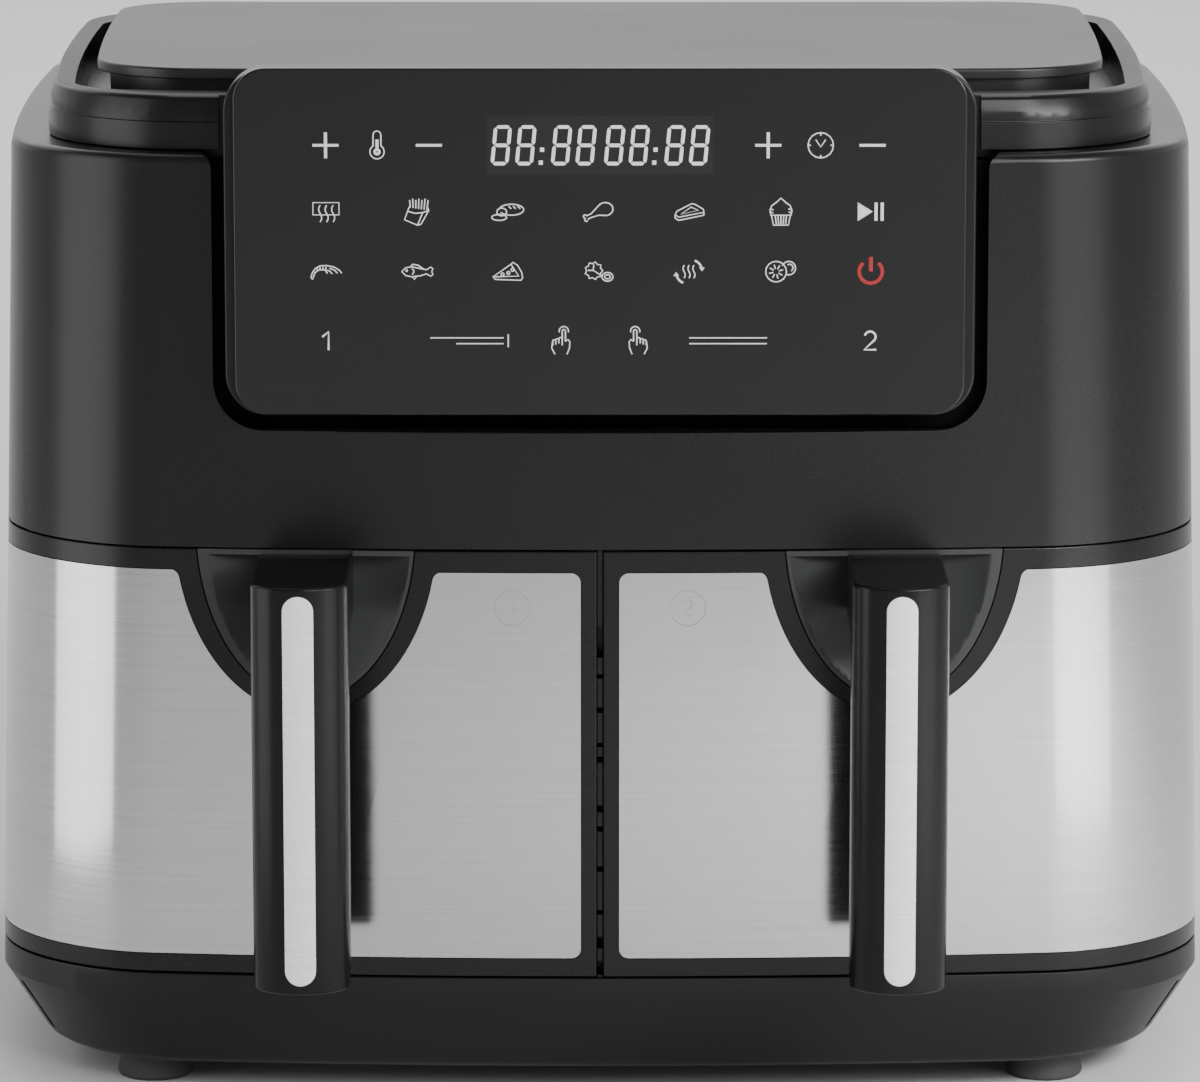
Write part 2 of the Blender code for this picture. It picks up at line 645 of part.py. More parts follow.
# ---- outer housing and top --------------------------------------------------------------
def build_housing(shop):
    """Build the outer housing with its drawer opening, console notch and rear opening."""
    lip = BASE_TOP_Z + CLEARANCE
    edge = SHOULDER_EDGE_RADIUS
    outer = [body_ring(lip, 0), body_ring(HOUSING_LIP_Z, 0), body_ring(SHOULDER_Z - edge, 0)]
    for degrees in (30, 60, 90):
        lean = math.radians(degrees)
        outer.append(body_ring(SHOULDER_Z - edge + edge * math.sin(lean),
                               edge * (1 - math.cos(lean))))
    housing = shop.part("outer_housing", lofted(outer), BLACK_GLOSS)
    inner_z = (lip - CUT_OVER, HOUSING_LIP_Z, SHOULDER_Z - PLASTIC_WALL)
    inner = [body_ring(z, PLASTIC_WALL) for z in inner_z]
    combine(housing, shop.cutter("housing_hollow", lofted(inner)))
    reach = half_width(0) + CUT_OVER
    mouth = box((-reach, -CUT_OVER, 0), (reach, wrap_depth() + SEAM_GAP, HOUSING_LIP_Z))
    combine(housing, shop.cutter("drawer_mouth", mouth))
    opening = [body_ring(z, SHOULDER_OPENING_INSET)
               for z in (SHOULDER_Z - CUT_OVER, SHOULDER_Z + CUT_OVER)]
    combine(housing, shop.cutter("shoulder_opening", lofted(opening)))
    combine(housing, shop.cutter("console_notch", notch_prism(SHOULDER_Z + CUT_OVER)))
    grille = upright_prism(grille_outline(0), BODY_DEPTH - CUT_OVER, BODY_DEPTH + CUT_OVER)
    combine(housing, shop.cutter("rear_opening", grille))


def notch_prism(top):
    """Return the solid cleared for the console, up to a height."""
    flare = NOTCH_TOP_RADIUS
    left = arc(-NOTCH_HALF_WIDTH - flare, SHOULDER_Z - flare, flare, flare, 90, 0, 5)
    left = [(left[0][0], top)] + left
    left += arc(NOTCH_CORNER_RADIUS - NOTCH_HALF_WIDTH, NOTCH_BOTTOM_Z + NOTCH_CORNER_RADIUS,
                NOTCH_CORNER_RADIUS, NOTCH_CORNER_RADIUS, 180, 270, 8)
    return upright_prism(left + [(-x, z) for x, z in left[::-1]], -CUT_OVER, NOTCH_DEPTH)


def build_centre_post(shop):
    """Build the thin windowed post between the drawers, under the housing's lip."""
    half = CENTRE_POST_WIDTH / 2
    foot = BASE_TOP_Z + CLEARANCE
    post = shop.part("centre_post", box((-half, CENTRE_POST_SETBACK, foot),
                                        (half, FRAME_DEPTH, HOUSING_LIP_Z - CLEARANCE)),
                     BLACK_GLOSS)
    rear = CENTRE_POST_SETBACK + CENTRE_POST_WINDOW_DEPTH
    for index, (low, tall) in enumerate(CENTRE_POST_WINDOWS):
        low = DRAWER_BOTTOM_Z + low * MM
        window = box((-half - MM, CENTRE_POST_SETBACK - MM, low),
                     (half + MM, rear, low + tall * MM))
        combine(post, shop.cutter(f"post_window_{index}", window))


def build_top(shop):
    """Build the raised collar round the top and the lid that stands inside it."""
    edge = COLLAR_EDGE_RADIUS
    sloped = COLLAR_STEP + COLLAR_SLOPE
    levels = ((COLLAR_FOOT_Z, COLLAR_STEP / 2), (COLLAR_FOOT_Z + COLLAR_STEP / 2, 0),
              (COLLAR_STEP_Z - COLLAR_STEP / 2, 0), (COLLAR_STEP_Z, COLLAR_STEP),
              (COLLAR_TOP_Z - edge, sloped), (COLLAR_TOP_Z - edge / 3, sloped + edge / 3),
              (COLLAR_TOP_Z, sloped + edge))
    collar = shop.part("top_collar", lofted([collar_ring(z, i) for z, i in levels]), BLACK_GLOSS)
    recess = [recess_ring(z) for z in (COLLAR_DECK_Z, COLLAR_TOP_Z + CUT_OVER)]
    combine(collar, shop.cutter("collar_recess", lofted(recess)))
    hollow = [collar_ring(z, COLLAR_HOLLOW_INSET)
              for z in (SHOULDER_Z - CUT_OVER, COLLAR_DECK_Z - COLLAR_DECK_THICKNESS)]
    combine(collar, shop.cutter("collar_hollow", lofted(hollow)))
    clear_x = NOTCH_HALF_WIDTH - NOTCH_SIDE_GAP / 2
    gap = box((-clear_x, -CUT_OVER, SHOULDER_Z - CUT_OVER),
              (clear_x, NOTCH_DEPTH, COLLAR_TOP_Z + CUT_OVER))
    combine(collar, shop.cutter("collar_console_gap", gap))
    build_lid(shop)


def lid_ring(z, inset):
    """Return the lid's outline at a height, moved inwards by an inset."""
    half = half_plan(z, COLLAR_SIDE_INSET + COLLAR_SIDE_RIM + LID_SIDE_GAP + inset,
                     COLLAR_FRONT_INSET + COLLAR_FRONT_RIM + LID_FRONT_GAP + inset,
                     COLLAR_REAR_INSET + COLLAR_REAR_RIM + LID_REAR_GAP + inset,
                     LID_CORNER_RADIUS - inset, LID_CORNER_RADIUS - inset)
    return mirrored_ring(half, z)


def build_lid(shop):
    """Build the flat lid plate with the skirt that stands on the collar's deck."""
    under = LID_TOP_Z - LID_THICKNESS
    plate = [lid_ring(under, 0), lid_ring(LID_TOP_Z - MM, 0), lid_ring(LID_TOP_Z, MM)]
    lid = shop.part("top_cover", lofted(plate), BLACK_SATIN)
    foot = COLLAR_DECK_Z + CLEARANCE
    skirt = [lid_ring(z, LID_SKIRT_INSET) for z in (foot, under + MM)]
    combine(lid, shop.cutter("lid_skirt", lofted(skirt)), "UNION")
    hollow = [lid_ring(z, LID_SKIRT_INSET + PLASTIC_WALL) for z in (foot - CUT_OVER, under)]
    combine(lid, shop.cutter("lid_hollow", lofted(hollow)))


# ---- console ----------------------------------------------------------------------------
def build_console(shop):
    """Build the control panel's glass, bezel, carrier and display board."""
    radius = PANEL_CORNER_RADIUS
    outline = rounded_rectangle(-PANEL_HALF_WIDTH, PANEL_HALF_WIDTH, PANEL_BOTTOM_Z,
                                PANEL_TOP_Z, [radius] * 4, 6)
    glass_back = PANEL_THICKNESS - PANEL_PROUD
    glass = shop.part("panel_glass", upright_prism(outline, -PANEL_PROUD, glass_back),
                      PANEL_BLACK)
    bevel(glass, PANEL_EDGE)
    reach = PANEL_HALF_WIDTH + BEZEL_BAND
    bottom = PANEL_BOTTOM_Z - BEZEL_BOTTOM_DROP
    outline = rounded_rectangle(-reach, reach, bottom, PANEL_TOP_Z - PANEL_EDGE,
                                [radius + BEZEL_BAND] * 4, 6)
    bezel = shop.part("panel_bezel", upright_prism(outline, BEZEL_FRONT, BEZEL_BACK),
                      BLACK_GLOSS)
    inside = reach - BEZEL_RIM
    pocket = box((-inside, -CUT_OVER, bottom + BEZEL_RIM),
                 (inside, BEZEL_BACK - PLASTIC_WALL, PANEL_TOP_Z - BEZEL_RIM))
    combine(bezel, shop.cutter("bezel_pocket", pocket))
    build_carrier(shop)
    wide, tall = DISPLAY_BOARD_SIZE
    middle = (PANEL_BOTTOM_Z + PANEL_TOP_Z) / 2
    board = box((-wide / 2, DISPLAY_BOARD_DEPTH, middle - tall / 2),
                (wide / 2, DISPLAY_BOARD_DEPTH + BOARD_THICKNESS, middle + tall / 2))
    shop.part("display_board", board, BOARD_GREEN)


def build_carrier(shop):
    """Build the tray behind the console that closes the notch in the housing."""
    reach = NOTCH_HALF_WIDTH + PLASTIC_WALL
    top = SHOULDER_Z - PLASTIC_WALL - CLEARANCE
    bottom = NOTCH_BOTTOM_Z - PLASTIC_WALL
    back = NOTCH_DEPTH - CLEARANCE
    tray = shop.part("console_carrier", box((-reach, CARRIER_FRONT, bottom), (reach, back, top)),
                     BLACK_SATIN)
    inside = box((-NOTCH_HALF_WIDTH, -CUT_OVER, NOTCH_BOTTOM_Z),
                 (NOTCH_HALF_WIDTH, back - PLASTIC_WALL, top + CUT_OVER))
    combine(tray, shop.cutter("carrier_hollow", inside))


# ---- back -------------------------------------------------------------------------------
def grille_outline(shrink):
    """Return the outline of the rear opening, made smaller all round by an amount."""
    reach = GRILLE_HALF_WIDTH - shrink
    low = GRILLE_TOP_Z - GRILLE_HEIGHT + shrink
    return rounded_rectangle(-reach, reach, low, GRILLE_TOP_Z - shrink,
                             [GRILLE_CORNER_RADIUS - shrink] * 4, 4)


def build_back(shop):
    """Build the vented rear cover, the wall spacers and the mains lead's gland."""
    cover = shop.part("rear_cover", upright_prism(grille_outline(CLEARANCE),
                                                  BODY_DEPTH - PLASTIC_WALL, BODY_DEPTH),
                      BLACK_SATIN)
    wide, tall = GRILLE_SLOT_SIZE
    for column in range(GRILLE_COLUMNS):
        x = (column - (GRILLE_COLUMNS - 1) / 2) * GRILLE_PITCH[0]
        for row in range(GRILLE_ROWS):
            z = GRILLE_Z + (row - (GRILLE_ROWS - 1) / 2) * GRILLE_PITCH[1]
            slot = box((x - wide / 2, BODY_DEPTH - CUT_OVER, z - tall / 2),
                       (x + wide / 2, BODY_DEPTH + CUT_OVER, z + tall / 2))
            combine(cover, shop.cutter(f"vent_slot_{column}_{row}", slot))
    near = BODY_DEPTH + CLEARANCE
    low = SHOULDER_Z - SPACER_BELOW_SHOULDER
    for name, side in SIDES:
        inner = SPACER_X - SPACER_SIZE[0] / 2
        block = side_box(side, (inner, near, low),
                         (inner + SPACER_SIZE[0], BODY_DEPTH + SPACER_REACH, low + SPACER_SIZE[1]))
        spacer = shop.part(f"rear_spacer_{name}", block, BLACK_SATIN)
        bevel(spacer, MM)
    nose = SPACER_REACH - CLEARANCE
    profile = [(0, nose), (GLAND_NOSE_RADIUS, nose), (GLAND_NOSE_RADIUS + MM, GLAND_FLANGE),
               (GLAND_RADIUS, GLAND_FLANGE), (GLAND_RADIUS, 0), (0, 0)]
    gland = turned(shop, "mains_gland", profile, RUBBER, at(GLAND_X, near, GLAND_Z), 24)
    gland.rotation_euler.x = -math.pi / 2


# ---- cooking cavities -------------------------------------------------------------------
def chamber_outline(side, grow, front, front_radius, rear_radius):
    """Return a chamber's plan, its liner's outer outline changed by an amount."""
    half = LINER_HALF_WIDTH + grow
    points = rounded_rectangle(LINER_X - half, LINER_X + half, front, LINER_REAR + grow,
                               (front_radius, front_radius, rear_radius, rear_radius), 6)
    return [(side * x, y) for x, y in points]


def build_cavity(shop, name, side):
    """Build one side's cooking cavity with its heater, guard, motor and switches."""
    outer = chamber_outline(side, 0, LINER_FRONT, LINER_CORNER_RADIUS, LINER_REAR_RADIUS)
    liner = shop.part(f"cavity_liner_{name}", plan_prism(outer, LINER_BOTTOM_Z, LINER_TOP_Z),
                      ZINC_SHEET)
    inner = chamber_outline(side, -SHEET, LINER_FRONT + SHEET, LINER_CORNER_RADIUS - SHEET,
                            LINER_REAR_RADIUS - SHEET)
    hollow = plan_prism(inner, LINER_BOTTOM_Z + SHEET, LINER_TOP_Z - SHEET)
    combine(liner, shop.cutter(f"liner_hollow_{name}", hollow))
    mouth = side_box(side, (LINER_INNER_X - CUT_OVER, 0, 0),
                     (LINER_OUTER_X + CUT_OVER, wrap_depth() + SEAM_GAP, HOUSING_LIP_Z))
    combine(liner, shop.cutter(f"liner_mouth_{name}", mouth))
    axis = at(side * LINER_X, FAN_CENTRE, LINER_TOP_Z - CUT_OVER)
    hole = cylinder(axis, SHAFT_HOLE_RADIUS, 2 * CUT_OVER, 20)
    combine(liner, shop.cutter(f"liner_shaft_hole_{name}", hole))
    build_heater(shop, name, side)
    build_motor(shop, name, side)
    build_switches(shop, name, side)


def build_heater(shop, name, side):
    """Build the spiral heating element and the flat guard below it."""
    steps = int(HEATER_TURNS * HEATER_POINTS_PER_TURN)
    curve = bpy.data.curves.new(f"heating_element_{name}", "CURVE")
    curve.dimensions = "3D"
    curve.bevel_depth = HEATER_TUBE_RADIUS
    curve.bevel_resolution = 1
    curve.use_fill_caps = True
    spline = curve.splines.new("POLY")
    spline.points.add(steps)
    for index in range(steps + 1):
        angle = side * 2 * math.pi * index / HEATER_POINTS_PER_TURN
        radius = HEATER_INNER_RADIUS + (HEATER_OUTER_RADIUS - HEATER_INNER_RADIUS) * index / steps
        spline.points[index].co = (radius * math.cos(angle), radius * math.sin(angle), 0, 1)
    coil = bpy.data.objects.new(f"heating_element_{name}", curve)
    coil.location = at(side * LINER_X, FAN_CENTRE, HEATER_Z)
    shop.parts.objects.link(coil)
    curve.materials.append(new_material(f"heating_element_{name}", MOTOR_GREY))
    centre = at(side * LINER_X, FAN_CENTRE, GUARD_Z)
    ring = cylinder(centre, GUARD_RADIUS, GUARD_THICKNESS, 32)
    guard = shop.part(f"heater_guard_{name}", ring, BRIGHT_STEEL, centre)
    low = centre - Vector((0, 0, CUT_OVER))
    inside = cylinder(low, GUARD_RADIUS - GUARD_BAR, 2 * CUT_OVER, 32)
    opening = shop.cutter(f"guard_opening_{name}", inside)
    middle = cylinder(low - Vector((0, 0, CUT_OVER)), GUARD_INNER_RING, 4 * CUT_OVER, 24)
    middle = shop.cutter(f"guard_middle_{name}", middle)
    hub = cylinder(low - Vector((0, 0, 2 * CUT_OVER)), GUARD_INNER_RING - GUARD_BAR,
                   6 * CUT_OVER, 24)
    combine(middle, shop.cutter(f"guard_hub_{name}", hub))
    combine(opening, middle)
    half = GUARD_BAR / 2
    for bar, (dx, dy) in (("across", (GUARD_RADIUS, half)), ("along", (half, GUARD_RADIUS))):
        x = side * LINER_X
        strip = box((x - dx, FAN_CENTRE - dy, GUARD_Z - 2 * CUT_OVER),
                    (x + dx, FAN_CENTRE + dy, GUARD_Z + 2 * CUT_OVER))
        combine(opening, shop.cutter(f"guard_bar_{bar}_{name}", strip))
    combine(guard, opening)


def build_motor(shop, name, side):
    """Build the motor on its plate over the cavity."""
    x = side * LINER_X
    wide, deep = MOTOR_PLATE_SIZE
    plate = shop.part(f"motor_plate_{name}",
                      box((x - wide / 2, FAN_CENTRE - deep / 2, MOTOR_PLATE_Z),
                          (x + wide / 2, FAN_CENTRE + deep / 2,
                           MOTOR_PLATE_Z + MOTOR_PLATE_THICKNESS)), ZINC_SHEET)
    low = at(x, FAN_CENTRE, MOTOR_PLATE_Z - CUT_OVER)
    combine(plate, shop.cutter(f"plate_shaft_hole_{name}",
                               cylinder(low, SHAFT_HOLE_RADIUS, 3 * CUT_OVER, 20)))
    seat = at(x, FAN_CENTRE, MOTOR_Z)
    motor = shop.part(f"motor_{name}", cylinder(seat, MOTOR_RADIUS, MOTOR_HEIGHT, 32), MOTOR_GREY)
    bore = cylinder(seat - Vector((0, 0, CUT_OVER)), SHAFT_RADIUS + CLEARANCE,
                    MOTOR_HEIGHT + 2 * CUT_OVER, 20)
    combine(motor, shop.cutter(f"motor_bore_{name}", bore))


def build_switches(shop, name, side):
    """Build the thermostat over the cavity and the switch that the drawer presses."""
    x = side * (LINER_X + THERMOSTAT_X_OFFSET)
    seat = at(x, FAN_CENTRE - THERMOSTAT_Y_OFFSET, MOTOR_PLATE_Z)
    shop.part(f"thermostat_{name}", cylinder(seat, THERMOSTAT_RADIUS, THERMOSTAT_HEIGHT, 20),
              MOTOR_GREY)
    wide, deep, tall = SWITCH_SIZE
    near = LINER_FRONT + SHEET + CLEARANCE
    low = LINER_TOP_Z + CLEARANCE
    switch = side_box(side, (LINER_X - wide / 2, near, low),
                      (LINER_X + wide / 2, near + deep, low + tall))
    shop.part(f"interlock_switch_{name}", switch, BLACK_SATIN)


def build_power_board(shop):
    """Build the upright power board between the two motors, behind them."""
    wide, tall = POWER_BOARD_SIZE
    near = BODY_DEPTH - POWER_BOARD_REAR_GAP
    low = LINER_TOP_Z + MOTOR_PLATE_THICKNESS + 2 * CLEARANCE
    board = box((-wide / 2, near, low), (wide / 2, near + BOARD_THICKNESS, low + tall))
    shop.part("power_board", board, BOARD_GREEN)


# ---- fans -------------------------------------------------------------------------------
def impeller(shop, name, centre, radius, blade, finish, parent):
    """Build a flat disc with upright blades, turning about its own Z axis."""
    disc = shop.part(name, cylinder(centre, radius, FAN_DISC, 32), finish, centre, parent)
    inner = 2 * SHAFT_RADIUS
    for index in range(FAN_BLADE_COUNT):
        turn = Matrix.Rotation(2 * math.pi * index / FAN_BLADE_COUNT, 4, "Z")
        size = Matrix.Diagonal((radius - inner - MM, FAN_DISC, blade, 1))
        shift = Matrix.Translation(((radius + inner) / 2, 0, FAN_DISC + blade / 2 - MM / 2))
        bm = bmesh.new()
        pose = Matrix.Translation(centre) @ turn @ shift @ size
        bmesh.ops.create_cube(bm, size=1, matrix=pose)
        combine(disc, shop.cutter(f"{name}_blade_{index}", to_mesh("blade", bm)), "UNION")
    low = centre - Vector((0, 0, CUT_OVER))
    bore = cylinder(low, SHAFT_RADIUS + CLEARANCE, 3 * CUT_OVER, 20)
    combine(disc, shop.cutter(f"{name}_bore", bore))


def build_fan(shop, name, side):
    """Build one shaft with its hot-air fan below the motor and cooling fan above it."""
    x = side * LINER_X
    axis = at(x, FAN_CENTRE, FAN_DISC_Z)
    pivot = shop.pivot(f"fan_axis_{name}", axis)
    foot = at(x, FAN_CENTRE, FAN_DISC_Z - 2 * MM)
    top = COOLING_FAN_Z + FAN_DISC + COOLING_FAN_BLADE
    shop.part(f"motor_shaft_{name}", cylinder(foot, SHAFT_RADIUS, top - foot.z, 20),
              BRIGHT_STEEL, axis, pivot)
    impeller(shop, f"hot_air_fan_{name}", axis, FAN_RADIUS, FAN_BLADE_HEIGHT, ZINC_SHEET, pivot)
    cool = at(x, FAN_CENTRE, COOLING_FAN_Z)
    impeller(shop, f"cooling_fan_{name}", cool, COOLING_FAN_RADIUS, COOLING_FAN_BLADE,
             BLACK_SATIN, pivot)


# ---- drawers ----------------------------------------------------------------------------
def scoop_outline(side, half_wide, half_tall, grow=0.0):
    """Return the ellipse of the hand scoop, made larger all round by an amount."""
    points = arc(HANDLE_X, SCOOP_CENTRE_Z, half_wide + grow, half_tall + grow, 0, 345, 23)
    return [(side * x, z) for x, z in points]


def rim_outline(side, grow):
    """Return the outline cleared for the scoop's rim, its meeting with the steel rounded."""
    wide, tall = SCOOP_RIM_HALF_WIDTH + grow, SCOOP_RIM_HALF_HEIGHT + grow
    top = STEEL_TOP_Z - grow
    turn = math.degrees(math.asin((top - SCOOP_CENTRE_Z) / tall))
    below = math.degrees(STEEL_CORNER_RADIUS / tall)
    start = turn - below
    bottom = arc(HANDLE_X, SCOOP_CENTRE_Z, wide, tall, start, -180 - start, 24)
    x, z = bottom[0]
    corner_x = HANDLE_X + wide * math.cos(math.radians(turn))
    edge_x = corner_x + STEEL_CORNER_RADIUS
    right = [(edge_x, top + CUT_OVER), (edge_x, top)]
    for share in (0.25, 0.5, 0.75):
        stay = 1 - share
        right.append((stay ** 2 * edge_x + 2 * stay * share * corner_x + share ** 2 * x,
                      stay ** 2 * top + 2 * stay * share * top + share ** 2 * z))
    left = [(2 * HANDLE_X - px, pz) for px, pz in right[::-1]]
    return [(side * px, pz) for px, pz in right + bottom + left]


def steel_window(side, grow):
    """Return the outline of the steel panel seen from the front, grown all round."""
    left = DRAWER_CENTRE_GAP / 2 + STEEL_INNER_MARGIN - grow
    right = half_width(0) + CUT_OVER
    radius = STEEL_CORNER_RADIUS + grow
    points = rounded_rectangle(left, right, STEEL_BOTTOM_Z - grow, STEEL_TOP_Z + grow,
                               (radius, 0, 0, radius), 3)
    return [(side * x, z) for x, z in points]


def build_frame(shop, name, side, pivot):
    """Build the plastic front of a drawer with its pocket for the steel sheet."""
    edge = DRAWER_CENTRE_GAP / 2
    block = corner_block(side, DRAWER_BOTTOM_Z, DRAWER_TOP_Z, 0, edge)
    frame = shop.part(f"front_frame_{name}", block, BLACK_GLOSS, parent=pivot)
    low = DRAWER_BOTTOM_Z + FRAME_FLANGE
    high = DRAWER_TOP_Z - FRAME_FLANGE
    hollow = corner_block(side, low, high, FRAME_SKIN, edge + FRAME_FLANGE, CUT_OVER)
    combine(frame, shop.cutter(f"frame_hollow_{name}", hollow))
    behind = corner_block(side, DRAWER_BOTTOM_Z - CUT_OVER, DRAWER_TOP_Z + CUT_OVER,
                          FRAME_EAR_SKIN, edge - CUT_OVER, 2 * CUT_OVER)
    behind = shop.cutter(f"frame_back_{name}", behind)
    reach = half_width(0) + CUT_OVER
    front_zone = side_box(side, (edge - 2 * CUT_OVER, -CUT_OVER, 0),
                          (reach, FRAME_DEPTH, SHOULDER_Z))
    combine(behind, shop.cutter(f"frame_front_zone_{name}", front_zone))
    combine(frame, behind)
    pocket = front_strip(side, STEEL_BOTTOM_Z - CUT_OVER, STEEL_TOP_Z + CUT_OVER, -MM,
                         STEEL_THICKNESS + CLEARANCE, edge + CLEARANCE,
                         0.4 - STEEL_WRAP_SHORT)
    pocket = shop.cutter(f"frame_pocket_{name}", pocket)
    window = upright_prism(steel_window(side, CLEARANCE), -CUT_OVER, 2 * wrap_depth())
    combine(pocket, shop.cutter(f"pocket_window_{name}", window), "INTERSECT")
    rim = upright_prism(rim_outline(side, -CLEARANCE), -2 * CUT_OVER, 3 * CUT_OVER)
    combine(pocket, shop.cutter(f"pocket_rim_{name}", rim))
    combine(frame, pocket)
    hole = upright_prism(scoop_outline(side, SCOOP_HALF_WIDTH, SCOOP_HALF_HEIGHT, CLEARANCE),
                         -CUT_OVER, FRAME_DEPTH + CUT_OVER)
    combine(frame, shop.cutter(f"frame_scoop_hole_{name}", hole))


def build_steel(shop, name, side, pivot):
    """Build the brushed steel sheet that wraps the front and its corner."""
    left = DRAWER_CENTRE_GAP / 2
    strip = front_strip(side, STEEL_BOTTOM_Z - CUT_OVER, STEEL_TOP_Z + CUT_OVER, 0,
                        STEEL_THICKNESS, left, -STEEL_WRAP_SHORT)
    steel = shop.part(f"steel_panel_{name}", strip, BRUSHED_STEEL, parent=pivot)
    window = upright_prism(steel_window(side, 0), -CUT_OVER, 2 * wrap_depth())
    combine(steel, shop.cutter(f"steel_window_{name}", window), "INTERSECT")
    rim = upright_prism(rim_outline(side, 0), -CUT_OVER, 2 * CUT_OVER)
    combine(steel, shop.cutter(f"steel_scoop_{name}", rim))


def build_handle_mount(shop, name, side, pivot):
    """Build the dished mount that fills the scoop and carries the handle's neck."""
    outline = scoop_outline(side, SCOOP_HALF_WIDTH, SCOOP_HALF_HEIGHT)
    dish = shop.part(f"handle_mount_{name}", upright_prism(outline, -CUT_OVER, FRAME_DEPTH),
                     BLACK_GLOSS, parent=pivot)
    skin = corner_block(side, DRAWER_BOTTOM_Z, DRAWER_TOP_Z, 0, DRAWER_CENTRE_GAP / 2)
    combine(dish, shop.cutter(f"mount_limits_{name}", skin), "INTERSECT")
    bm = bmesh.new()
    bmesh.ops.create_uvsphere(bm, u_segments=40, v_segments=24, radius=1)
    front = HANDLE_X ** 2 / (2 * FRONT_CROWN_RADIUS)
    depth = FRAME_DEPTH - front - SCOOP_WALL
    at_face = math.sqrt(3) / 2
    size = ((SCOOP_HALF_WIDTH - SCOOP_RING) / at_face, 2 * depth,
            (SCOOP_HALF_HEIGHT - SCOOP_RING) / at_face, 1)
    centre = at(side * HANDLE_X, front - depth, SCOOP_CENTRE_Z)
    crown = Matrix.Rotation(side * HANDLE_X / FRONT_CROWN_RADIUS, 4, "Z")
    bmesh.ops.transform(bm, matrix=Matrix.Translation(centre) @ crown @ Matrix.Diagonal(size),
                        verts=bm.verts)
    bowl = shop.cutter(f"mount_bowl_{name}", to_mesh("bowl", bm))
    x = side * HANDLE_X
    neck_low = HANDLE_TOP_Z - NECK_HEIGHT
    pedestal = box((x - NECK_HALF_WIDTH, -4 * CUT_OVER, neck_low),
                   (x + NECK_HALF_WIDTH, 4 * CUT_OVER, SHOULDER_Z))
    combine(bowl, shop.cutter(f"mount_pedestal_{name}", pedestal))
    lip = box((x - SCOOP_RIM_HALF_WIDTH, -4 * CUT_OVER, DRAWER_TOP_Z - SCOOP_LIP),
              (x + SCOOP_RIM_HALF_WIDTH, 4 * CUT_OVER, SHOULDER_Z))
    combine(bowl, shop.cutter(f"mount_lip_{name}", lip))
    combine(dish, bowl)
    face = box((x - NECK_HALF_WIDTH - CLEARANCE, -CUT_OVER, neck_low - CLEARANCE),
               (x + NECK_HALF_WIDTH + CLEARANCE, NECK_BACK, SHOULDER_Z))
    combine(dish, shop.cutter(f"mount_neck_face_{name}", face))


def build_handle(shop, name, side, pivot):
    """Build the upright D-shaped grip with its neck and the steel strip let into it."""
    x = side * HANDLE_X
    widest = HANDLE_NOSE_DEPTH - HANDLE_REACH
    back = HANDLE_DEPTH - HANDLE_REACH
    nose = arc(x, widest, HANDLE_HALF_WIDTH, HANDLE_NOSE_DEPTH, 180, 360, 12)
    plan = nose + [(x + HANDLE_HALF_WIDTH, back), (x - HANDLE_HALF_WIDTH, back)]
    grip = shop.part(f"handle_grip_{name}", plan_prism(plan, HANDLE_BOTTOM_Z, HANDLE_TOP_Z),
                     BLACK_GLOSS, parent=pivot)
    bevel(grip, HANDLE_EDGE_RADIUS)
    low = HANDLE_TOP_Z - NECK_HEIGHT
    rear = NECK_BACK - CLEARANCE
    arch = arc(back + NECK_HEIGHT, low - NECK_HEIGHT * 0.6, NECK_HEIGHT + MM, NECK_HEIGHT * 0.6,
               180, 90, 6)
    side_view = [(widest, HANDLE_TOP_Z - MM), (rear, HANDLE_TOP_Z - MM), (rear, low)]
    side_view += arch[::-1] + [(widest, arch[0][1])]
    neck = extruded([at(x - NECK_HALF_WIDTH, y, z) for y, z in side_view],
                    (2 * NECK_HALF_WIDTH, 0, 0))
    combine(grip, shop.cutter(f"grip_neck_{name}", neck), "UNION")
    pocket = upright_prism(inlay_outline(x, CLEARANCE), -HANDLE_REACH - CUT_OVER,
                           INLAY_THICKNESS + CLEARANCE - HANDLE_REACH)
    combine(grip, shop.cutter(f"inlay_pocket_{name}", pocket))
    inlay = upright_prism(inlay_outline(x, 0), -HANDLE_REACH, INLAY_THICKNESS - HANDLE_REACH)
    shop.part(f"handle_inlay_{name}", inlay, BRIGHT_STEEL, parent=pivot)


def inlay_outline(x, grow):
    """Return the outline of the steel strip in the grip, with fully rounded ends."""
    radius = INLAY_HALF_WIDTH + grow
    return rounded_rectangle(x - radius, x + radius,
                             HANDLE_BOTTOM_Z + INLAY_BOTTOM_MARGIN - grow,
                             HANDLE_TOP_Z - INLAY_TOP_MARGIN + grow, [radius * 0.999] * 4, 5)


def build_inner_cover(shop, name, side, pivot):
    """Build the flat cover that closes the back of a drawer front."""
    edge = DRAWER_CENTRE_GAP / 2 + FRAME_FLANGE
    outline = rounded_rectangle(edge, INNER_COVER_SIDE, DRAWER_BOTTOM_Z + FRAME_FLANGE,
                                DRAWER_TOP_Z - FRAME_FLANGE, [6 * MM] * 4, 3)
    plate = upright_prism([(side * px, z) for px, z in outline], INNER_COVER_Y,
                          INNER_COVER_Y + INNER_COVER_THICKNESS)
    shop.part(f"inner_cover_{name}", plate, BLACK_SATIN, parent=pivot)


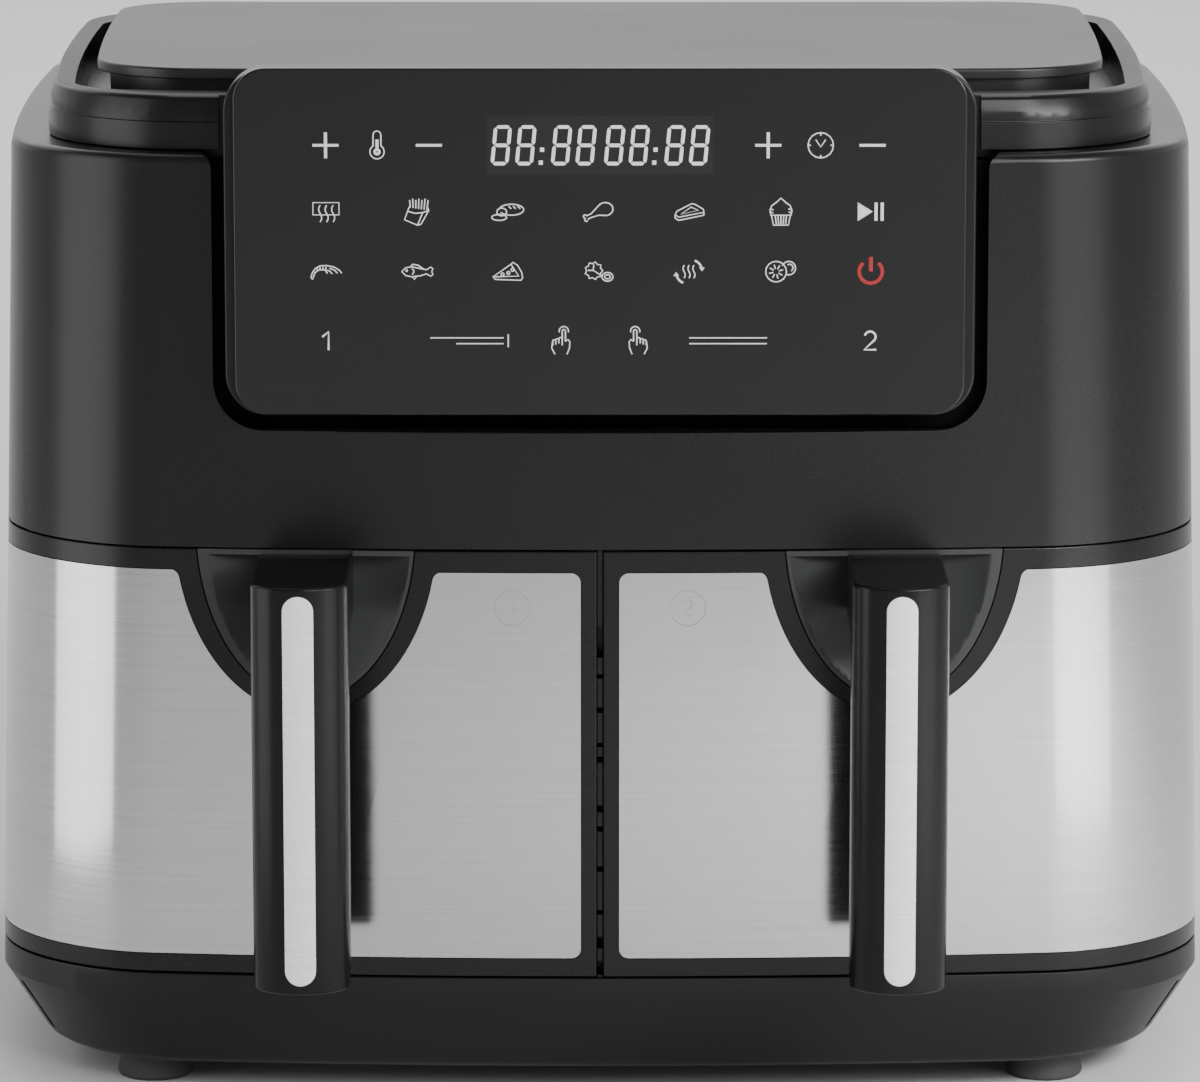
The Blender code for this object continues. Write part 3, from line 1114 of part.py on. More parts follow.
def basket_ring(side, z, inset):
    """Return the basket's plan at a height, moved inwards by an inset."""
    sink = BASKET_TAPER * (BASKET_TOP_Z - z) / (BASKET_TOP_Z - BASKET_BOTTOM_Z)
    half = BASKET_HALF_WIDTH - inset - sink
    front_radius = BASKET_CORNER_RADIUS - inset
    rear_radius = BASKET_REAR_RADIUS - inset
    points = rounded_rectangle(LINER_X - half, LINER_X + half, BASKET_FRONT + inset + sink,
                               BASKET_REAR - inset - sink,
                               (front_radius, front_radius, rear_radius, rear_radius), 6)
    return [at(side * x, y, z) for x, y in points]


def build_basket(shop, name, side, pivot):
    """Build the open coated basket with two runners under its floor."""
    walls = [basket_ring(side, z, 0) for z in (BASKET_BOTTOM_Z, BASKET_TOP_Z)]
    basket = shop.part(f"basket_{name}", lofted(walls), COATED_BASKET, parent=pivot)
    inside = [basket_ring(side, z, BASKET_WALL)
              for z in (BASKET_BOTTOM_Z + BASKET_WALL, BASKET_TOP_Z + CUT_OVER)]
    combine(basket, shop.cutter(f"basket_inside_{name}", lofted(inside)))
    wide, long = RUNNER_SIZE
    middle = (BASKET_FRONT + BASKET_REAR) / 2
    floor = LINER_BOTTOM_Z + SHEET + CLEARANCE
    for place, offset in (("inner", -1), ("outer", 1)):
        x = side * (LINER_X + offset * BASKET_HALF_WIDTH / 2)
        runner = box((x - wide / 2, middle - long / 2, floor),
                     (x + wide / 2, middle + long / 2, BASKET_BOTTOM_Z + BASKET_WALL / 2))
        combine(basket, shop.cutter(f"runner_{place}_{name}", runner), "UNION")


def build_plate(shop, name, side, pivot):
    """Build the slotted crisper plate standing on four legs in the basket."""
    bottom = [basket_ring(side, z, BASKET_WALL + PLATE_EDGE_GAP)
              for z in (PLATE_Z, PLATE_Z + PLATE_THICKNESS)]
    for point, base in zip(bottom[1], bottom[0]):
        point.x, point.y = base.x, base.y
    plate = shop.part(f"crisper_plate_{name}", lofted(bottom), COATED_BASKET, parent=pivot)
    middle = (BASKET_FRONT + BASKET_REAR) / 2
    columns, rows = PLATE_SLOTS
    wide, deep = PLATE_SLOT_SIZE
    for column in range(columns):
        x = side * LINER_X + (column - (columns - 1) / 2) * PLATE_SLOT_PITCH[0]
        for row in range(rows):
            y = middle + (row - (rows - 1) / 2) * PLATE_SLOT_PITCH[1]
            slot = box((x - wide / 2, y - deep / 2, PLATE_Z - CUT_OVER),
                       (x + wide / 2, y + deep / 2, PLATE_Z + CUT_OVER))
            combine(plate, shop.cutter(f"plate_slot_{column}_{row}_{name}", slot))
    reach_x = BASKET_HALF_WIDTH - PLATE_LEG_INSET
    reach_y = (BASKET_REAR - BASKET_FRONT) / 2 - PLATE_LEG_INSET
    foot = BASKET_BOTTOM_Z + BASKET_WALL + CLEARANCE
    for index, (dx, dy) in enumerate(((-1, -1), (1, -1), (1, 1), (-1, 1))):
        centre = at(side * LINER_X + dx * reach_x, middle + dy * reach_y, foot)
        leg = cylinder(centre, PLATE_LEG_RADIUS, PLATE_Z + PLATE_THICKNESS / 2 - foot, 12)
        combine(plate, shop.cutter(f"plate_leg_{index}_{name}", leg), "UNION")


def build_drawer(shop, name, side):
    """Build one whole drawer: front, handle, basket and the loose plate inside it."""
    slide = shop.pivot(f"drawer_slide_{name}", at(side * LINER_X, 0, DRAWER_BOTTOM_Z))
    build_frame(shop, name, side, slide)
    build_steel(shop, name, side, slide)
    build_handle_mount(shop, name, side, slide)
    build_handle(shop, name, side, slide)
    build_inner_cover(shop, name, side, slide)
    build_basket(shop, name, side, slide)
    build_plate(shop, name, side, slide)


def main():
    """Build the whole appliance."""
    clear_scene()
    shop = Workshop()
    build_base(shop)
    build_housing(shop)
    build_centre_post(shop)
    build_top(shop)
    build_console(shop)
    build_back(shop)
    build_power_board(shop)
    for name, side in SIDES:
        build_cavity(shop, name, side)
        build_fan(shop, name, side)
        build_drawer(shop, name, side)


main()
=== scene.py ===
"""Looks of the dual-drawer air fryer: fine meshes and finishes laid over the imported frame.

Every size is in metres. Depths are measured back from the front plane of the body, heights
up from the floor and widths from the centre plane, as in the frame itself.
"""
from __future__ import annotations

import logging
import math
from contextlib import contextmanager
from dataclasses import dataclass, field
from enum import Enum
from typing import Any, Callable, Iterator, Sequence

import bmesh
import bpy
from mathutils import Matrix, Vector


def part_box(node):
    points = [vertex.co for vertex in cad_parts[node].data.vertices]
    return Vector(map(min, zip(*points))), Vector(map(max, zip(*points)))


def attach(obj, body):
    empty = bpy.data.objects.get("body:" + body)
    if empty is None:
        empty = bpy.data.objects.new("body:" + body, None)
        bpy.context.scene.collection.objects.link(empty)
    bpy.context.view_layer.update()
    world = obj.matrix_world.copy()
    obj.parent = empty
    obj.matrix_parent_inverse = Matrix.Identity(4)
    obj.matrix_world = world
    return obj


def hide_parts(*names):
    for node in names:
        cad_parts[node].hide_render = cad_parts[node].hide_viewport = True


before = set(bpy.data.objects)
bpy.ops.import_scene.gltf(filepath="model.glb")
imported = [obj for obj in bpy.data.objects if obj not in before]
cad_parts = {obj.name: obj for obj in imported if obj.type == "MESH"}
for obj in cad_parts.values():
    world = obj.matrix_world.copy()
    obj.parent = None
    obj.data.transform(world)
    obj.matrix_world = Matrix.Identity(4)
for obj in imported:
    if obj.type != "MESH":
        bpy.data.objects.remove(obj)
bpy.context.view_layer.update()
LOG = logging.getLogger("air_fryer")
MM = 0.001
FIT = 0.3 * MM  # the gap left all round where one piece fits into another
PAST = 9 * MM  # how far a cutting tool reaches past the surface it opens
Piece = bpy.types.Object
Test = Callable[[Any], bool]
Point = Sequence[float]


# ---- shader building --------------------------------------------------------------------
class Signal:
    """One output socket of a material's nodes, usable in sums like a number."""

    def __init__(self, shader: Shader, socket: bpy.types.NodeSocket) -> None:
        """Wrap a socket of a shader."""
        self.shader = shader
        self.socket = socket

    def _with(self, operation: str, first: Any, second: Any) -> Signal:
        """Return the result of a Math node on two values."""
        return self.shader.math(operation, first, second)

    def __add__(self, other: Any) -> Signal:
        """Return self + other."""
        return self._with("ADD", self, other)

    def __radd__(self, other: Any) -> Signal:
        """Return other + self."""
        return self._with("ADD", other, self)

    def __sub__(self, other: Any) -> Signal:
        """Return self - other."""
        return self._with("SUBTRACT", self, other)

    def __rsub__(self, other: Any) -> Signal:
        """Return other - self."""
        return self._with("SUBTRACT", other, self)

    def __mul__(self, other: Any) -> Signal:
        """Return self * other."""
        return self._with("MULTIPLY", self, other)

    def __rmul__(self, other: Any) -> Signal:
        """Return other * self."""
        return self._with("MULTIPLY", other, self)


class Shader:
    """The nodes of a material or a world under construction."""

    def __init__(self, owner: bpy.types.ID, surface: str = "Principled BSDF") -> None:
        """Open the nodes of a material, or of a world whose surface is its background.

        Args:
            owner: the material or world.
            surface: the name of its surface node.
        """
        owner.use_nodes = True
        self.owner = owner
        self.tree = owner.node_tree
        self.surface = self.tree.nodes[surface]

    def node(self, kind: str, settings: dict[str, Any], links: dict[Any, Any]) -> bpy.types.Node:
        """Add a node.

        Args:
            kind: the node's type name.
            settings: its properties, set before its sockets.
            links: values or signals for its input sockets.

        Returns:
            The new node.
        """
        new = self.tree.nodes.new(kind)
        for key, value in settings.items():
            setattr(new, key, value)
        for key, value in links.items():
            self.plug(new.inputs[key], value)
        return new

    def plug(self, socket: bpy.types.NodeSocket, value: Any) -> None:
        """Link a signal to a socket, or set the socket's own value."""
        if isinstance(value, Signal):
            self.tree.links.new(value.socket, socket)
        else:
            socket.default_value = value

    def math(self, operation: str, first: Any, second: Any = 0.0) -> Signal:
        """Return the result of one Math node."""
        new = self.node("ShaderNodeMath", {"operation": operation}, {0: first, 1: second})
        return Signal(self, new.outputs[0])

    def place(self, scale: Point = (1, 1, 1), turn: Point = (0, 0, 0)) -> Signal:
        """Return the piece's own coordinates, scaled and turned.

        Args:
            scale: how much each axis is stretched.
            turn: the turn in radians.

        Returns:
            The coordinates.
        """
        where = self.node("ShaderNodeTexCoord", {}, {})
        mapped = self.node("ShaderNodeMapping", {}, {
            "Vector": Signal(self, where.outputs["Object"]), "Scale": scale, "Rotation": turn})
        return Signal(self, mapped.outputs[0])

    def axes(self) -> tuple[Signal, Signal, Signal]:
        """Return the piece's own x, y and z as three signals."""
        parts = self.node("ShaderNodeSeparateXYZ", {}, {0: self.place()})
        return tuple(Signal(self, output) for output in parts.outputs)

    def noise(self, where: Signal, scale: float, detail: float = 3, rough: float = 0.55) -> Signal:
        """Return a noise value from 0 to 1."""
        new = self.node("ShaderNodeTexNoise", {}, {
            "Vector": where, "Scale": scale, "Detail": detail, "Roughness": rough})
        return Signal(self, new.outputs["Fac"])

    def spread(self, value: Signal, low: float, high: float,
               out_low: float, out_high: float) -> Signal:
        """Return a value moved from one range to another and kept inside it."""
        new = self.node("ShaderNodeMapRange", {}, {
            0: value, 1: low, 2: high, 3: out_low, 4: out_high})
        return Signal(self, new.outputs[0])

    def blend(self, share: Any, first: Any, second: Any) -> Signal:
        """Return a mix of two colours."""
        new = self.node("ShaderNodeMix", {"data_type": "RGBA"}, {0: share, 6: first, 7: second})
        return Signal(self, new.outputs[2])

    def bump(self, height: Signal, depth: float, strength: float = 1.0) -> None:
        """Raise the surface by a height signal over a depth in metres."""
        new = self.node("ShaderNodeBump", {}, {
            "Height": height, "Distance": depth, "Strength": strength})
        self.feed(Normal=Signal(self, new.outputs[0]))

    def feed(self, **sockets: Any) -> None:
        """Set or link sockets of the surface, named with _ for each space."""
        for name, value in sockets.items():
            self.plug(self.surface.inputs[name.replace("_", " ")], value)


def rgb(red: float, green: float, blue: float) -> tuple[float, float, float, float]:
    """Return an opaque colour."""
    return (red, green, blue, 1.0)


# ---- finishes ---------------------------------------------------------------------------
@dataclass(frozen=True)
class MouldedPlastic:
    """Black moulded plastic with a faint orange peel and uneven gloss."""

    name: str
    colour: tuple[float, float, float] = (0.0085, 0.0092, 0.0090)
    gloss: float = 0.27
    specular: float = 0.33
    grain: float = 900.0
    grain_depth: float = 0.010 * MM

    def material(self) -> bpy.types.Material:
        """Return the finished material.

        Returns:
            The material.
        """
        shader = Shader(bpy.data.materials.new(self.name))
        cloudy = shader.noise(shader.place((9, 9, 9)), 1.0, 4)
        fine = shader.noise(shader.place(), self.grain, 2)
        dark = rgb(*(0.82 * c for c in self.colour))
        light = rgb(*(1.18 * c for c in self.colour))
        shader.feed(Base_Color=shader.blend(cloudy, dark, light),
                    Roughness=shader.spread(cloudy + fine * 0.25, 0.3, 0.9,
                                            self.gloss * 0.88, self.gloss * 1.14),
                    Specular_IOR_Level=self.specular)
        shader.bump(fine, self.grain_depth, 0.6)
        return shader.owner


@dataclass(frozen=True)
class BrushedSteel:
    """Steel sheet brushed along its width, the lines following the bend."""

    name: str
    colour: tuple[float, float, float] = (0.62, 0.62, 0.615)
    roughness: float = 0.12
    lines: float = 1500.0
    depth: float = 0.006 * MM
    metallic: float = 1.0

    def material(self) -> bpy.types.Material:
        """Return the finished material.

        Returns:
            The material.
        """
        shader = Shader(bpy.data.materials.new(self.name))
        long_lines = shader.noise(shader.place((5, 5, self.lines)), 1.0, 5, 0.65)
        short_lines = shader.noise(shader.place((60, 60, self.lines * 1.7)), 1.0, 3, 0.6)
        cloudy = shader.noise(shader.place((7, 7, 12)), 1.0, 2)
        lines = long_lines * 0.65 + short_lines * 0.35
        shade = shader.spread(lines + cloudy * 0.10, 0.35, 0.75, 0.0, 1.0)
        dark = rgb(*(0.88 * c for c in self.colour))
        light = rgb(*(1.08 * c for c in self.colour))
        shader.feed(Base_Color=shader.blend(shade, dark, light), Metallic=self.metallic,
                    Roughness=shader.spread(lines, 0.3, 0.7,
                                            self.roughness * 0.85, self.roughness * 1.2))
        shader.bump(lines, self.depth, 0.5)
        return shader.owner


@dataclass(frozen=True)
class PanelGlass:
    """The control panel's smooth black front with its faintly lighter display window."""

    name: str
    window_low: tuple[float, float]
    window_high: tuple[float, float]
    colour: tuple[float, float, float] = (0.0120, 0.0128, 0.0125)
    window: tuple[float, float, float] = (0.0190, 0.0200, 0.0196)

    def material(self) -> bpy.types.Material:
        """Return the finished material.

        Returns:
            The material.
        """
        shader = Shader(bpy.data.materials.new(self.name))
        x, _, z = shader.axes()
        inside = self._band(shader, x, self.window_low[0], self.window_high[0])
        inside = inside * self._band(shader, z, self.window_low[1], self.window_high[1])
        haze = shader.noise(shader.place((14, 14, 14)), 1.0, 3)
        base = shader.blend(haze, rgb(*(0.9 * c for c in self.colour)),
                            rgb(*(1.1 * c for c in self.colour)))
        shader.feed(Base_Color=shader.blend(inside, base, rgb(*self.window)),
                    Roughness=shader.spread(haze, 0.3, 0.7, 0.13, 0.19),
                    Specular_IOR_Level=0.40)
        return shader.owner

    @staticmethod
    def _band(shader: Shader, value: Signal, low: float, high: float) -> Signal:
        """Return 1 between two values and 0 outside them."""
        return shader.math("GREATER_THAN", value, low) * shader.math("LESS_THAN", value, high)


@dataclass(frozen=True)
class Ink:
    """Printed symbol colour, slightly uneven like screen print, with an emission glow."""

    name: str
    colour: tuple[float, float, float]
    # glow is emission strength: a painted glow on the printed symbols, the display's own light on
    # the digits.
    glow: float = 0.0

    def material(self) -> bpy.types.Material:
        """Return the finished material.

        Returns:
            The material.
        """
        shader = Shader(bpy.data.materials.new(self.name))
        speckle = shader.noise(shader.place(), 2600.0, 2)
        shader.feed(Base_Color=shader.blend(speckle, rgb(*(0.9 * c for c in self.colour)),
                                            rgb(*self.colour)),
                    Roughness=shader.spread(speckle, 0.3, 0.7, 0.45, 0.6),
                    Emission_Color=rgb(*self.colour), Emission_Strength=self.glow)
        return shader.owner


@dataclass(frozen=True)
class SheetMetal:
    """Plain coated or bare sheet metal with a rolled grain."""

    name: str
    colour: tuple[float, float, float] = (0.50, 0.51, 0.52)
    roughness: float = 0.38
    metallic: float = 1.0
    spots: float = 350.0

    def material(self) -> bpy.types.Material:
        """Return the finished material.

        Returns:
            The material.
        """
        shader = Shader(bpy.data.materials.new(self.name))
        rolled = shader.noise(shader.place((8, 300, 8)), 1.0, 3)
        spots = shader.noise(shader.place(), self.spots, 2)
        mixed = rolled * 0.6 + spots * 0.4
        shader.feed(Base_Color=shader.blend(mixed, rgb(*(0.86 * c for c in self.colour)),
                                            rgb(*(1.08 * c for c in self.colour))),
                    Metallic=self.metallic,
                    Roughness=shader.spread(mixed, 0.3, 0.7, self.roughness * 0.85,
                                            self.roughness * 1.2))
        shader.bump(spots, 0.01 * MM, 0.5)
        return shader.owner


@dataclass(frozen=True)
class CircuitLaminate:
    """Green board with lighter copper tracks under the lacquer."""

    name: str

    def material(self) -> bpy.types.Material:
        """Return the finished material.

        Returns:
            The material.
        """
        shader = Shader(bpy.data.materials.new(self.name))
        cells = shader.node("ShaderNodeTexVoronoi", {"feature": "DISTANCE_TO_EDGE"}, {
            "Vector": shader.place((260, 260, 260)), "Scale": 1.0})
        tracks = shader.spread(Signal(shader, cells.outputs[0]), 0.03, 0.07, 1.0, 0.0)
        shader.feed(Base_Color=shader.blend(tracks, rgb(0.018, 0.10, 0.045),
                                            rgb(0.05, 0.22, 0.09)),
                    Roughness=shader.spread(tracks, 0, 1, 0.5, 0.32))
        return shader.owner


class Finish(Enum):
    """The finishes of the appliance, one for each kind of surface."""

    HOUSING = MouldedPlastic("housing_gloss_black")
    FRAME = MouldedPlastic("frame_gloss_black", colour=(0.0072, 0.0078, 0.0076))
    BASE = MouldedPlastic("base_satin_black", colour=(0.0075, 0.0080, 0.0078), gloss=0.38)
    # A grey copy of the black plastic, laid on the collar's upward faces: a painted sheen standing
    # in for the sky's reflection on its top.
    RIM = MouldedPlastic("collar_top_painted_sheen", colour=(0.050, 0.051, 0.0505), gloss=0.5,
                         specular=0.45, grain_depth=0.004 * MM)
    # A lighter copy of the black frame plastic for the dish: painted light lifting the shade that
    # falls in the dish behind the handle.
    DISH = MouldedPlastic("dish_black_painted_light", colour=(0.042, 0.044, 0.0435), gloss=0.34)
    LID = MouldedPlastic("lid_satin_black", colour=(0.0110, 0.0115, 0.0113), gloss=0.34,
                         specular=0.45, grain=1400.0, grain_depth=0.02 * MM)
    GRIP = MouldedPlastic("grip_gloss_black", colour=(0.0085, 0.0090, 0.0088), gloss=0.22,
                          specular=0.20)
    INNER = MouldedPlastic("inner_black", colour=(0.0060, 0.0062, 0.0061), gloss=0.50)
    # A near-black, dull copy of the black plastic for the console carrier: painted shade for the
    # deep gap round the console.
    GROOVE = MouldedPlastic("carrier_painted_shade_black", colour=(0.0012, 0.0012, 0.0012), gloss=0.6,
                            specular=0.12)
    STEEL = BrushedSteel("drawer_brushed_steel")
    # A near-white, almost non-metallic copy of the brushed steel for the handle inlay: its bright
    # reflection is painted into the colour, while the brushed lines are the strip's own grain.
    INLAY = BrushedSteel("inlay_painted_reflection_white", colour=(0.98, 0.98, 0.975), roughness=0.26,
                         lines=2300.0, metallic=0.1)
    SHEET = SheetMetal("cavity_sheet")
    BRIGHT = SheetMetal("bright_metal", colour=(0.74, 0.74, 0.73), roughness=0.24)
    MOTOR = SheetMetal("motor_metal", colour=(0.30, 0.30, 0.31), roughness=0.42)
    COATING = SheetMetal("nonstick_coating", colour=(0.030, 0.030, 0.032), roughness=0.42,
                         metallic=0.2, spots=1200.0)
    RUBBER = MouldedPlastic("foot_rubber", colour=(0.055, 0.055, 0.055), gloss=0.7,
                            specular=0.25, grain=1800.0, grain_depth=0.04 * MM)
    SILICONE = MouldedPlastic("bumper_silicone", colour=(0.030, 0.030, 0.030), gloss=0.6)
    BOARD = CircuitLaminate("board_laminate")
    # The printed white and red symbols get a faint emission: a painted glow, though print is no
    # lamp.
    WHITE_INK = Ink("symbol_white", (0.80, 0.80, 0.79), 0.12)
    RED_INK = Ink("symbol_red", (0.38, 0.012, 0.016), 0.06)
    DIGITS = Ink("display_digits", (0.86, 0.86, 0.85), 0.16)
    ETCH = BrushedSteel("etched_mark", colour=(0.46, 0.46, 0.455), roughness=0.5)


class Palette:
    """Makes each finish's material once and dresses pieces in it."""

    def __init__(self) -> None:
        """Start with no materials made."""
        self.made: dict[Finish, bpy.types.Material] = {}

    def material(self, finish: Finish) -> bpy.types.Material:
        """Return the material of a finish."""
        if finish not in self.made:
            self.made[finish] = finish.value.material()
        return self.made[finish]

    def dress(self, piece: Piece, finish: Finish) -> Piece:
        """Give a piece one finish all over.

        Args:
            piece: the piece.
            finish: its finish.

        Returns:
            The piece.
        """
        piece.data.materials.clear()
        piece.data.materials.append(self.material(finish))
        return piece

    def dress_node(self, node: str, finish: Finish) -> None:
        """Give a node of the frame a finish, in its own material slots."""
        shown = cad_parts[node]
        for slot in shown.material_slots:
            slot.material = self.material(finish)


# ---- the workbench ----------------------------------------------------------------------
def focus(piece: Piece) -> None:
    """Select one piece alone and make it active.

    Args:
        piece: the piece to select.
    """
    bpy.ops.object.select_all(action="DESELECT")
    piece.select_set(True)
    bpy.context.view_layer.objects.active = piece


@contextmanager
def editing(piece: Piece, kind: str, test: Test) -> Iterator[None]:
    """Enter edit mode with the faces, edges or vertices that pass a test selected.

    Args:
        piece: the mesh piece to edit.
        kind: FACE, EDGE or VERT.
        test: says whether an element of that kind is selected.

    Yields:
        Nothing, while the piece is in edit mode.
    """
    focus(piece)
    bpy.ops.object.mode_set(mode="EDIT")
    bpy.ops.mesh.select_mode(type=kind)
    bpy.ops.mesh.select_all(action="DESELECT")
    bm = bmesh.from_edit_mesh(piece.data)
    bm.normal_update()
    for element in {"FACE": bm.faces, "EDGE": bm.edges, "VERT": bm.verts}[kind]:
        if test(element):
            element.select_set(True)
    bmesh.update_edit_mesh(piece.data)
    yield
    bpy.ops.object.mode_set(mode="OBJECT")


def block(name: str, low: Point, high: Point) -> Piece:
    """Return a cube stretched between two corners, its place in its mesh.

    Args:
        name: the new piece's name.
        low: its lowest corner.
        high: its highest corner.

    Returns:
        The block.
    """
    low, high = Vector(low), Vector(high)
    bpy.ops.object.select_all(action="DESELECT")
    bpy.ops.mesh.primitive_cube_add(size=1, location=(low + high) / 2, scale=high - low)
    return settled(name)


def drum(name: str, centre: Point, radii: tuple[float, float], height: float,
         sides: int = 48, turn: Point = (0, 0, 0)) -> Piece:
    """Return an upright elliptical drum about its middle, turned if asked.

    Args:
        name: the new piece's name.
        centre: its middle.
        radii: its half widths along x and y.
        height: its height.
        sides: how many flats it has.
        turn: its turn in radians.

    Returns:
        The drum.
    """
    bpy.ops.object.select_all(action="DESELECT")
    bpy.ops.mesh.primitive_cylinder_add(vertices=sides, radius=1, depth=1, location=centre,
                                        rotation=turn, scale=(radii[0], radii[1], height))
    return settled(name)


def ball(name: str, centre: Point, radii: Point, turn: Point = (0, 0, 0)) -> Piece:
    """Return a sphere stretched to three radii and turned.

    Args:
        name: the new piece's name.
        centre: its middle.
        radii: its three radii.
        turn: its turn in radians.

    Returns:
        The ball.
    """
    bpy.ops.object.select_all(action="DESELECT")
    bpy.ops.mesh.primitive_uv_sphere_add(segments=96, ring_count=64, radius=1,
                                         location=centre, rotation=turn, scale=radii)
    return settled(name)


def settled(name: str) -> Piece:
    """Name the new piece and put its place, turn and scale into its mesh.

    Args:
        name: the name of the piece and its mesh.

    Returns:
        The piece.
    """
    piece = bpy.context.object
    piece.name = name
    piece.data.name = name
    bpy.ops.object.transform_apply(location=True, rotation=True, scale=True)
    return piece


def bevel(piece: Piece, test: Test, width: float, segments: int = 3) -> None:
    """Round the edges that pass a test."""
    with editing(piece, "EDGE", test):
        bpy.ops.mesh.bevel(offset=width, segments=segments, affect="EDGES", clamp_overlap=True)


def slice_across(piece: Piece, axis: int, places: Sequence[float]) -> None:
    """Add a ring of edges where planes across an axis cut the piece."""
    normal = Vector((axis == 0, axis == 1, axis == 2))
    for place in places:
        with editing(piece, "FACE", lambda face: True):
            bpy.ops.mesh.bisect(plane_co=normal * place, plane_no=normal)


def trim(piece: Piece, point: Point, normal: Point) -> None:
    """Remove the side of a plane that its normal points to and close the cut."""
    with editing(piece, "FACE", lambda face: True):
        bpy.ops.mesh.bisect(plane_co=point, plane_no=normal, use_fill=True, clear_outer=True)


def extrude(piece: Piece, test: Test, move: Point) -> None:
    """Pull the faces that pass a test along a vector."""
    with editing(piece, "FACE", test):
        bpy.ops.mesh.extrude_region_move(TRANSFORM_OT_translate={"value": move})


def shape(piece: Piece, move: Callable[[Vector], Vector]) -> None:
    """Move every vertex of a piece by a rule."""
    for vertex in piece.data.vertices:
        vertex.co = move(vertex.co.copy())
    piece.data.update()


def combine(piece: Piece, tool: Piece, operation: str = "DIFFERENCE") -> Piece:
    """Cut, join or intersect a piece with a tool, which is used up.

    Args:
        piece: the piece to change.
        tool: the piece it is combined with.
        operation: DIFFERENCE, UNION or INTERSECT.

    Returns:
        The changed piece.
    """
    focus(piece)
    modifier = piece.modifiers.new("tool", "BOOLEAN")
    modifier.operation = operation
    modifier.solver = "EXACT"
    modifier.object = tool
    bpy.ops.object.modifier_apply(modifier=modifier.name)
    bpy.data.objects.remove(tool)
    return piece


def soften(piece: Piece, width: float, segments: int = 2, angle: float = 50) -> None:
    """Round every edge sharper than an angle in degrees.

    Args:
        piece: the piece to change.
        width: the rounding's width.
        segments: its steps.
        angle: the least angle that is rounded.
    """
    focus(piece)
    modifier = piece.modifiers.new("soft", "BEVEL")
    modifier.width = width
    modifier.segments = segments
    modifier.limit_method = "ANGLE"
    modifier.angle_limit = math.radians(angle)
    modifier.miter_outer = "MITER_ARC"
    bpy.ops.object.modifier_apply(modifier=modifier.name)


def finished(piece: Piece, angle: float = 35) -> Piece:
    """Merge doubles, face the surface outwards and smooth all but its sharp edges.

    Args:
        piece: the piece to finish.
        angle: the angle in degrees past which an edge stays sharp.

    Returns:
        The piece.
    """
    with editing(piece, "VERT", lambda vertex: True):
        bpy.ops.mesh.remove_doubles(threshold=0.000002)
        bpy.ops.mesh.normals_make_consistent(inside=False)
    focus(piece)
    bpy.ops.object.shade_smooth_by_angle(angle=math.radians(angle))
    modifier = piece.modifiers.new("weighted", "WEIGHTED_NORMAL")
    modifier.keep_sharp = True
    bpy.ops.object.modifier_apply(modifier=modifier.name)
    return piece


def copied(piece: Piece, name: str) -> Piece:
    """Return a copy of a piece with its own mesh.

    Args:
        piece: the piece to copy.
        name: the copy's name.

    Returns:
        The copy.
    """
    other = piece.copy()
    other.data = piece.data.copy()
    other.name = name
    other.data.name = name
    bpy.context.collection.objects.link(other)
    return other


def mirrored(piece: Piece, name: str) -> Piece:
    """Return a copy of a piece mirrored across the centre plane.

    Args:
        piece: the piece to copy.
        name: the copy's name.

    Returns:
        The mirrored copy.
    """
    other = copied(piece, name)
    shape(other, lambda co: Vector((-co.x, co.y, co.z)))
    with editing(other, "FACE", lambda face: True):
        bpy.ops.mesh.flip_normals()
    return finished(other)


def smooth_copy(node: str, angle: float = 32) -> Piece:
    """Return a welded, smooth-shaded copy of a frame node that stands for it.

    Args:
        node: the frame node's name.
        angle: the angle in degrees past which an edge stays sharp.

    Returns:
        The copy.
    """
    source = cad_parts[node]
    piece = bpy.data.objects.new(f"{node}_shown", source.data.copy())
    bpy.context.collection.objects.link(piece)
    with editing(piece, "VERT", lambda vertex: True):
        bpy.ops.mesh.remove_doubles(threshold=0.00001)
        bpy.ops.mesh.tris_convert_to_quads()
    focus(piece)
    bpy.ops.object.shade_smooth_by_angle(angle=math.radians(angle))
    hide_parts(node)
    return piece


def stands_for(piece: Piece, body: str, *nodes: str) -> Piece:
    """Let a piece replace frame nodes and move with their body.

    Args:
        piece: the piece.
        body: the body it moves with.
        nodes: the frame nodes it replaces, if any.

    Returns:
        The piece.
    """
    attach(piece, body)
    if nodes:
        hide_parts(*nodes)
    LOG.info("%s on %s, %d faces", piece.name, body, len(piece.data.polygons))
    return piece


# ---- element tests ----------------------------------------------------------------------
def near(first: float, second: float, within: float = 0.02 * MM) -> bool:
    """Say whether two lengths are equal but for rounding."""
    return abs(first - second) < within


def upright(edge: Any) -> bool:
    """Say whether an edge runs straight up."""
    first, second = (vertex.co for vertex in edge.verts)
    return near(first.x, second.x) and near(first.y, second.y)


def level_at(edge: Any, z: float) -> bool:
    """Say whether an edge lies at a height."""
    return all(near(vertex.co.z, z) for vertex in edge.verts)


def sharp(edge: Any, degrees: float = 40) -> bool:
    """Say whether an edge's two faces meet at more than an angle."""
    return len(edge.link_faces) == 2 and edge.calc_face_angle(0) > math.radians(degrees)


